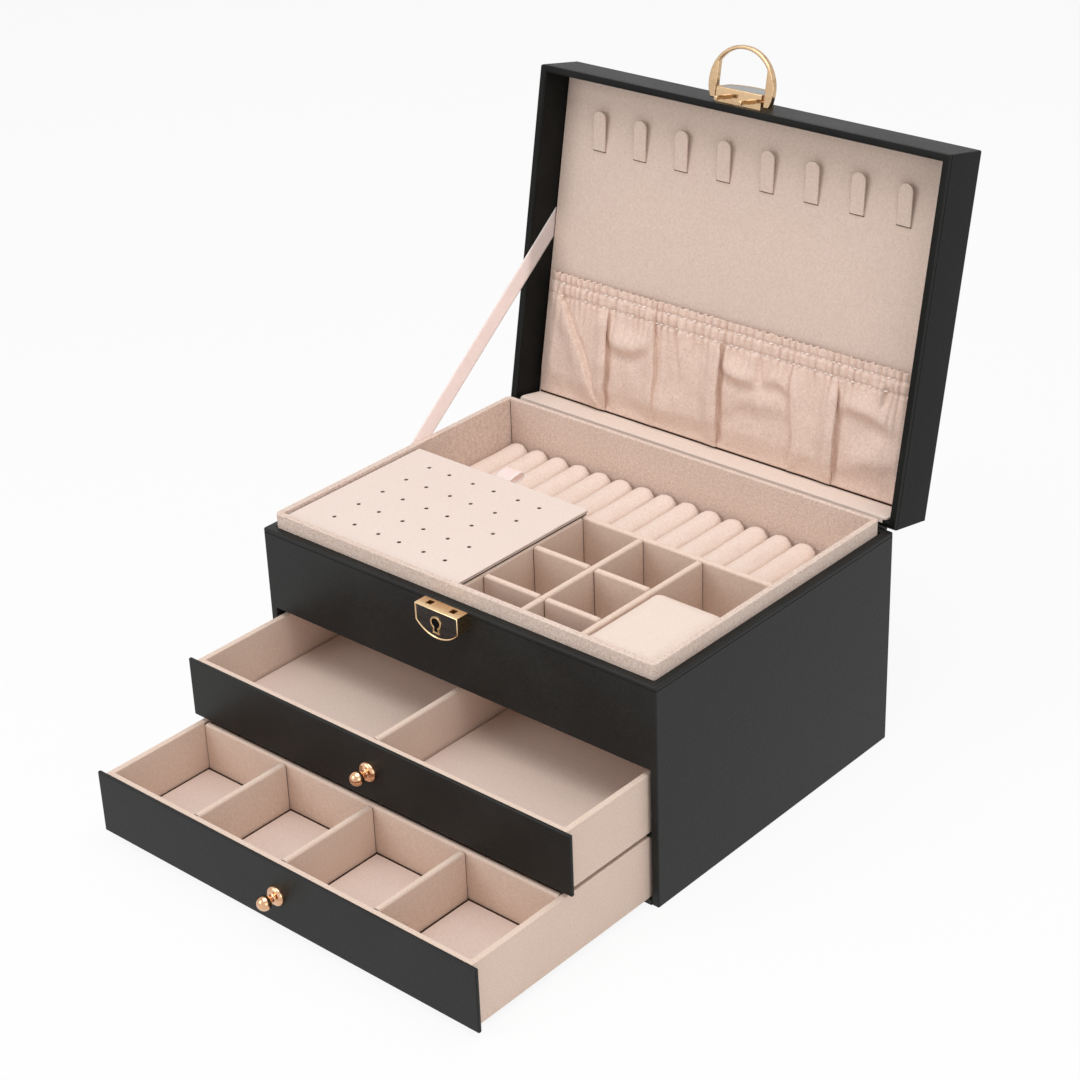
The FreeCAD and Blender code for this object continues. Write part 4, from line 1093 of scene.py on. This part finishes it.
def makeStay(look):
    bm = bmesh.new()
    marks = bm.loops.layers.uv.new("ribbon")
    bmesh.ops.create_grid(bm, x_segments=look["columns"], y_segments=look["steps"], size=1, calc_uvs=True)
    neck, top = Vector((0, *look["neck"])), Vector((0, *look["lid"]))
    way = (top - neck).normalized()
    aside = Vector((0, -way.z, way.y))
    start = neck - way * ((look["neck"][1] - look["foot"]) / way.z)
    length = (top - start).length
    lidNormal = lidTurn @ Vector((0, 0, 1))
    for v in bm.verts:
        u, t = v.co.x, (v.co.y + 1) / 2
        foot = start + aside * (u * look["width"] / 2)
        foot += way * ((look["foot"] - foot.z) / way.z)
        head = top + aside * (u * look["width"] / 2)
        head += way * ((top - head).dot(lidNormal) / way.dot(lidNormal))  # cut along the lining it goes into
        spot = foot.lerp(head, t)
        v.co = Vector((look["side"] + 0.05 * math.sin(t * 9 + u), spot.y, spot.z)) * mm
    for f in bm.faces:
        for corner in f.loops:
            old = corner[marks].uv
            corner[marks].uv = (old[0], old[1] * length * mm)
    made = piece("stayRibbon", bm, palePinkSatin, None, ("stay_ribbon",), turn=180, even=False)
    thickness(made, look["thickness"])
    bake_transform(made)
    return made


makeStay(stayLook)


# Lock, hasp and ring handle

def shield(bm, half, straight, shoulder, reach, way, y, steps=22):  # straight edge, short sides, round end
    sag = reach - shoulder
    radius = (half * half + sag * sag) / (2 * sag)
    first = dot(bm, half, y, straight + way * shoulder)
    centre = (0, y, straight + way * (reach - radius))
    last = arc(bm, first, centre, (0, 1, 0), -way * 2 * math.asin(half / radius), steps)
    join(bm, last, dot(bm, -half, y, straight), dot(bm, half, y, straight), first)
    return fill(bm)


def thicken(bm, face, y=0, z=0):
    made = bmesh.ops.extrude_face_region(bm, geom=[face])["geom"]
    shift(bm, vertsOf(made), y=y, z=z)
    bmesh.ops.recalc_face_normals(bm, faces=bm.faces)


lockLook = dict(half=12.5, straight=108.3, shoulder=8.1, reach=14.0, back=-85.0, face=-92.3, rim=0.8,
                sink=0.5, edge=0.3, slim=0.35, inlayEdge=0.12, prongs=6.8, prongY=-88.15, hole=1.55)
haspLook = dict(half=12.7, straight=112.6, shoulder=10.3, reach=16.2, back=-85.0, face=-92.3, rim=0.9,
                sink=0.5, edge=0.3, slim=0.35, inlayEdge=0.12)


def makePlate(name, look, way, body, node, inlayNode, lid, metal):
    bm = bmesh.new()
    straight, slim = look["straight"], look["slim"]  # the rim is slimmer by this along the straight edge
    thicken(bm, shield(bm, look["half"], straight, look["shoulder"], look["reach"], way, look["back"]),
            y=look["face"] - look["back"])
    soften(bm, corners(bm, lambda c: not near(c.y, look["back"])), look["edge"], 2)
    front = max(faceAt(bm, 1, look["face"]), key=lambda f: f.calc_area())
    rim = (look["rim"] - look["edge"]) * mm
    bmesh.ops.inset_individual(bm, faces=[front], thickness=rim, use_even_offset=True)
    edge = [v for v in front.verts if abs(v.co.z / mm - straight) < look["rim"] + 0.2]
    shift(bm, edge, z=-way * slim)
    shift(bm, front.verts, y=look["sink"])
    if "hole" in look:
        tool, h, y = bmesh.new(), look["hole"], look["prongY"]
        for x in (-look["prongs"], look["prongs"]):
            slab(tool, (x - h, y - h, straight - 5), (x + h, y + h, straight + 1))
        bm = carve(bm, tool)
    if lid:
        openLid(bm)
    piece(name + "Body", bm, metal, body, (node,), turn=40)
    bm = bmesh.new()
    inset = look["rim"] + 0.02
    sheet = shield(bm, look["half"] - inset, straight + way * (inset - slim), look["shoulder"] - inset + 0.2,
                   look["reach"] - 2 * inset + slim, way, look["face"] + look["sink"] + 0.3)
    thicken(bm, sheet, y=-look["sink"] - 0.12)
    soften(bm, corners(bm, lambda c: c.y < (look["face"] + 0.25) * mm), look["inlayEdge"], 2)
    if lid:
        openLid(bm)
    piece(name + "Inlay", bm, blackEnamel, body, (inlayNode,), turn=40)


# the lock takes the brighter copy of the gold: painted highlight
makePlate("lock", lockLook, -1, "case", "lock_case", "lock_inlay", False, lockLitGold)
makePlate("hasp", haspLook, 1, "lid", "hasp_body", "hasp_inlay", True, goldPlate)

prongLook = dict(spacing=6.8, y=-88.15, half=0.95, low=104.4, high=112.7, notch=(105.3, 109.3),
                 deep=1.2, edge=0.22)


def makeProngs(look):
    bm, tool = bmesh.new(), bmesh.new()
    half, y, (notchLow, notchHigh) = look["half"], look["y"], look["notch"]
    for x in (-look["spacing"], look["spacing"]):
        slab(bm, (x - half, y - half, look["low"]), (x + half, y + half, look["high"]))
        slab(tool, (x + half - look["deep"], y - 2, notchLow), (x + half + 1, y + 2, notchHigh))
    soften(bm, corners(bm, lambda c: c.z < (look["high"] - 0.1) * mm), look["edge"], 2)
    soften(bm, [e for e in corners(bm, None, 0.9) if span(e, 2) > 5 * mm], look["edge"], 2)
    bm = carve(bm, tool)
    openLid(bm)
    return piece("haspProngs", bm, goldPlate, "lid", ("hasp_prongs",), turn=40)


makeProngs(prongLook)

keyholeLook = dict(centre=102.2, radius=3.2, waist=1.6, foot=96.9, footHalf=2.1, rim=0.9, face=-92.68,
                   depth=0.66, sink=0.2, edge=0.12, steps=30)


def keyholeSolid(look, trim, back, face):
    bm = bmesh.new()
    radius, waist = look["radius"] - trim, look["waist"] - 0.8 * trim
    lean = math.asin(waist / radius)
    first = dot(bm, waist, back, look["centre"] - radius * math.cos(lean))
    last = arc(bm, first, (0, back, look["centre"]), (0, -1, 0), 2 * math.pi - 2 * lean, look["steps"])
    feet = [dot(bm, x * (look["footHalf"] - trim), back, look["foot"] + trim) for x in (-1, 1)]
    join(bm, last, *feet, first)
    thicken(bm, fill(bm), y=face - back)
    return bm


def makeKeyhole(look):
    back = look["face"] + look["depth"]
    hole = keyholeSolid(look, look["rim"], back + 1, look["face"] - 1)
    bm = carve(keyholeSolid(look, 0, back, look["face"]), hole)
    soften(bm, corners(bm, lambda c: near(c.y, look["face"]), 0.9), look["edge"], 2)
    # painted shade: a black fill inside the keyhole
    bore = keyholeSolid(look, look["rim"] + 0.02, back, look["face"] + look["sink"])
    piece("keyholeShade", bore, boreBlack, "case")
    return piece("keyholeRim", bm, lockLitGold, "case", ("keyhole_rim",), turn=40)


makeKeyhole(keyholeLook)

ringLook = dict(centre=-94.2, radius=18.2, bore=16.4, mouth=13.5, legEnd=-86.5, bottom=113.1, thickness=3.0,
                edge=0.6, steps=56, boreSteps=32)


def makeRing(look):
    bm = bmesh.new()
    z, legEnd, mouth = look["bottom"], look["legEnd"], look["mouth"]
    centre = (0, look["centre"], z)
    rise = legEnd - look["centre"]
    foot = math.sqrt(look["radius"] ** 2 - rise ** 2)
    lean = math.atan2(rise, foot)
    first = dot(bm, foot, legEnd, z)
    last = arc(bm, first, centre, (0, 0, -1), math.pi + 2 * lean, look["steps"])
    deep = math.sqrt(look["bore"] ** 2 - mouth ** 2)
    inLeft, arcLeft = dot(bm, -mouth, legEnd, z), dot(bm, -mouth, look["centre"] - deep, z)
    arcRight = arc(bm, arcLeft, centre, (0, 0, 1), 2 * math.asin(mouth / look["bore"]), look["boreSteps"])
    inRight = dot(bm, mouth, legEnd, z)
    join(bm, last, inLeft, arcLeft)
    join(bm, arcRight, inRight, first)
    thicken(bm, fill(bm), z=look["thickness"])
    soften(bm, corners(bm, None, 0.6), look["edge"], 3)
    openLid(bm)
    return piece("ringHandle", bm, goldPlate, "ring", ("ring_handle",), turn=40)


makeRing(ringLook)


# CAD pieces that stay as they are take a finish

for finish, names in (
        (blackLeather, ("base_panel", "drawer_shelf", "hinge_bead")),
        (boardVelvet, ("tray_floor",)),
        # drawer floors dark as painted shade for the gaps round the pads
        (floorShadeVelvet, ("upper_floor", "lower_floor")),
        (goldPlate, ("ring_pins",)),
        (boltSteel, ("lock_bolt",))):
    for nodeName in names:
        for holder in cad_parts[nodeName].material_slots:
            holder.material = finish
print("CAD pieces finished")


# Stage, light and camera

stageLook = dict(floor=4.0, floorDrop=0.3, floorGrey=0.82, floorGlow=0.9, ambient=0.42)


def whiteRays(finish):  # 1 for the rays that see the backdrop
    path = finish.nodes.new("ShaderNodeLightPath")
    rays = [Wire(finish, path.outputs[n]) for n in ("Is Camera Ray", "Is Glossy Ray", "Is Transmission Ray")]
    return finish.add("ShaderNodeMath", dict(operation="MINIMUM"), {0: rays[0] + rays[1] + rays[2], 1: 1.0})


def makeStage(look):
    bm = bmesh.new()
    bmesh.ops.create_grid(bm, x_segments=2, y_segments=2, size=look["floor"])
    shift(bm, bm.verts, z=-look["floorDrop"])
    floor = put("floor", asMesh(bm, "floor"))
    finish = newFinish("paleFloor")
    paint = finish.add("ShaderNodeBsdfDiffuse", {}, {"Color": (*[look["floorGrey"]] * 3, 1.0)})
    glow = finish.add("ShaderNodeEmission", {}, {"Color": (1, 1, 1, 1), "Strength": 1.0})
    white = whiteRays(finish) * look["floorGlow"]
    seen = finish.add("ShaderNodeMixShader", {}, {0: white, 1: paint, 2: glow})
    floor.data.materials.append(finish.show(seen))


makeStage(stageLook)


def makeSky(ambient):  # plain light on the box, white where the backdrop is seen
    sky = Finish(bpy.data.worlds.new("whiteRoom"))
    strength = whiteRays(sky) * (1 - ambient) + ambient
    backdrop = sky.add("ShaderNodeBackground", {}, {"Color": (1, 1, 1, 1), "Strength": strength})
    sky.add("ShaderNodeOutputWorld", {}, {"Surface": backdrop})
    scene.world = sky.owner


makeSky(stageLook["ambient"])

lamps = (  # name, place, aim, size, watts
    ("overhead", (0.18, -0.12, 1.28), (0.0, 0.0, 0.1), 1.0, 10.8),
    ("rightFill", (1.25, -0.50, 0.32), (0.0, -0.08, 0.08), 0.8, 2.9),
    ("frontFill", (-0.60, -1.30, 0.80), (0.0, 0.0, 0.14), 0.9, 6.4))

for lampName, lampPlace, lampAim, lampSize, watts in lamps:
    lamp = bpy.data.lights.new(lampName, "AREA")
    lamp.energy = watts
    lamp.size = lampSize
    holder = put(lampName, lamp)
    holder.location = lampPlace
    holder.rotation_euler = (Vector(lampAim) - Vector(lampPlace)).to_track_quat("-Z", "Y").to_euler()

cameraLook = dict(place=(0.643725, -0.735751, 0.621236), turn=(1.084055, 0.034356, 0.716854), lens=81.261)
lens = bpy.data.cameras.new("photoCamera")
lens.sensor_width = 36.0
lens.sensor_fit = "HORIZONTAL"
lens.lens = cameraLook["lens"]
lens.clip_start = 0.05
camera = put("photoCamera", lens)
camera.location = cameraLook["place"]
camera.rotation_euler = cameraLook["turn"]
scene.camera = camera
scene.view_settings.view_transform = "Standard"
print("stage, lamps and camera set")
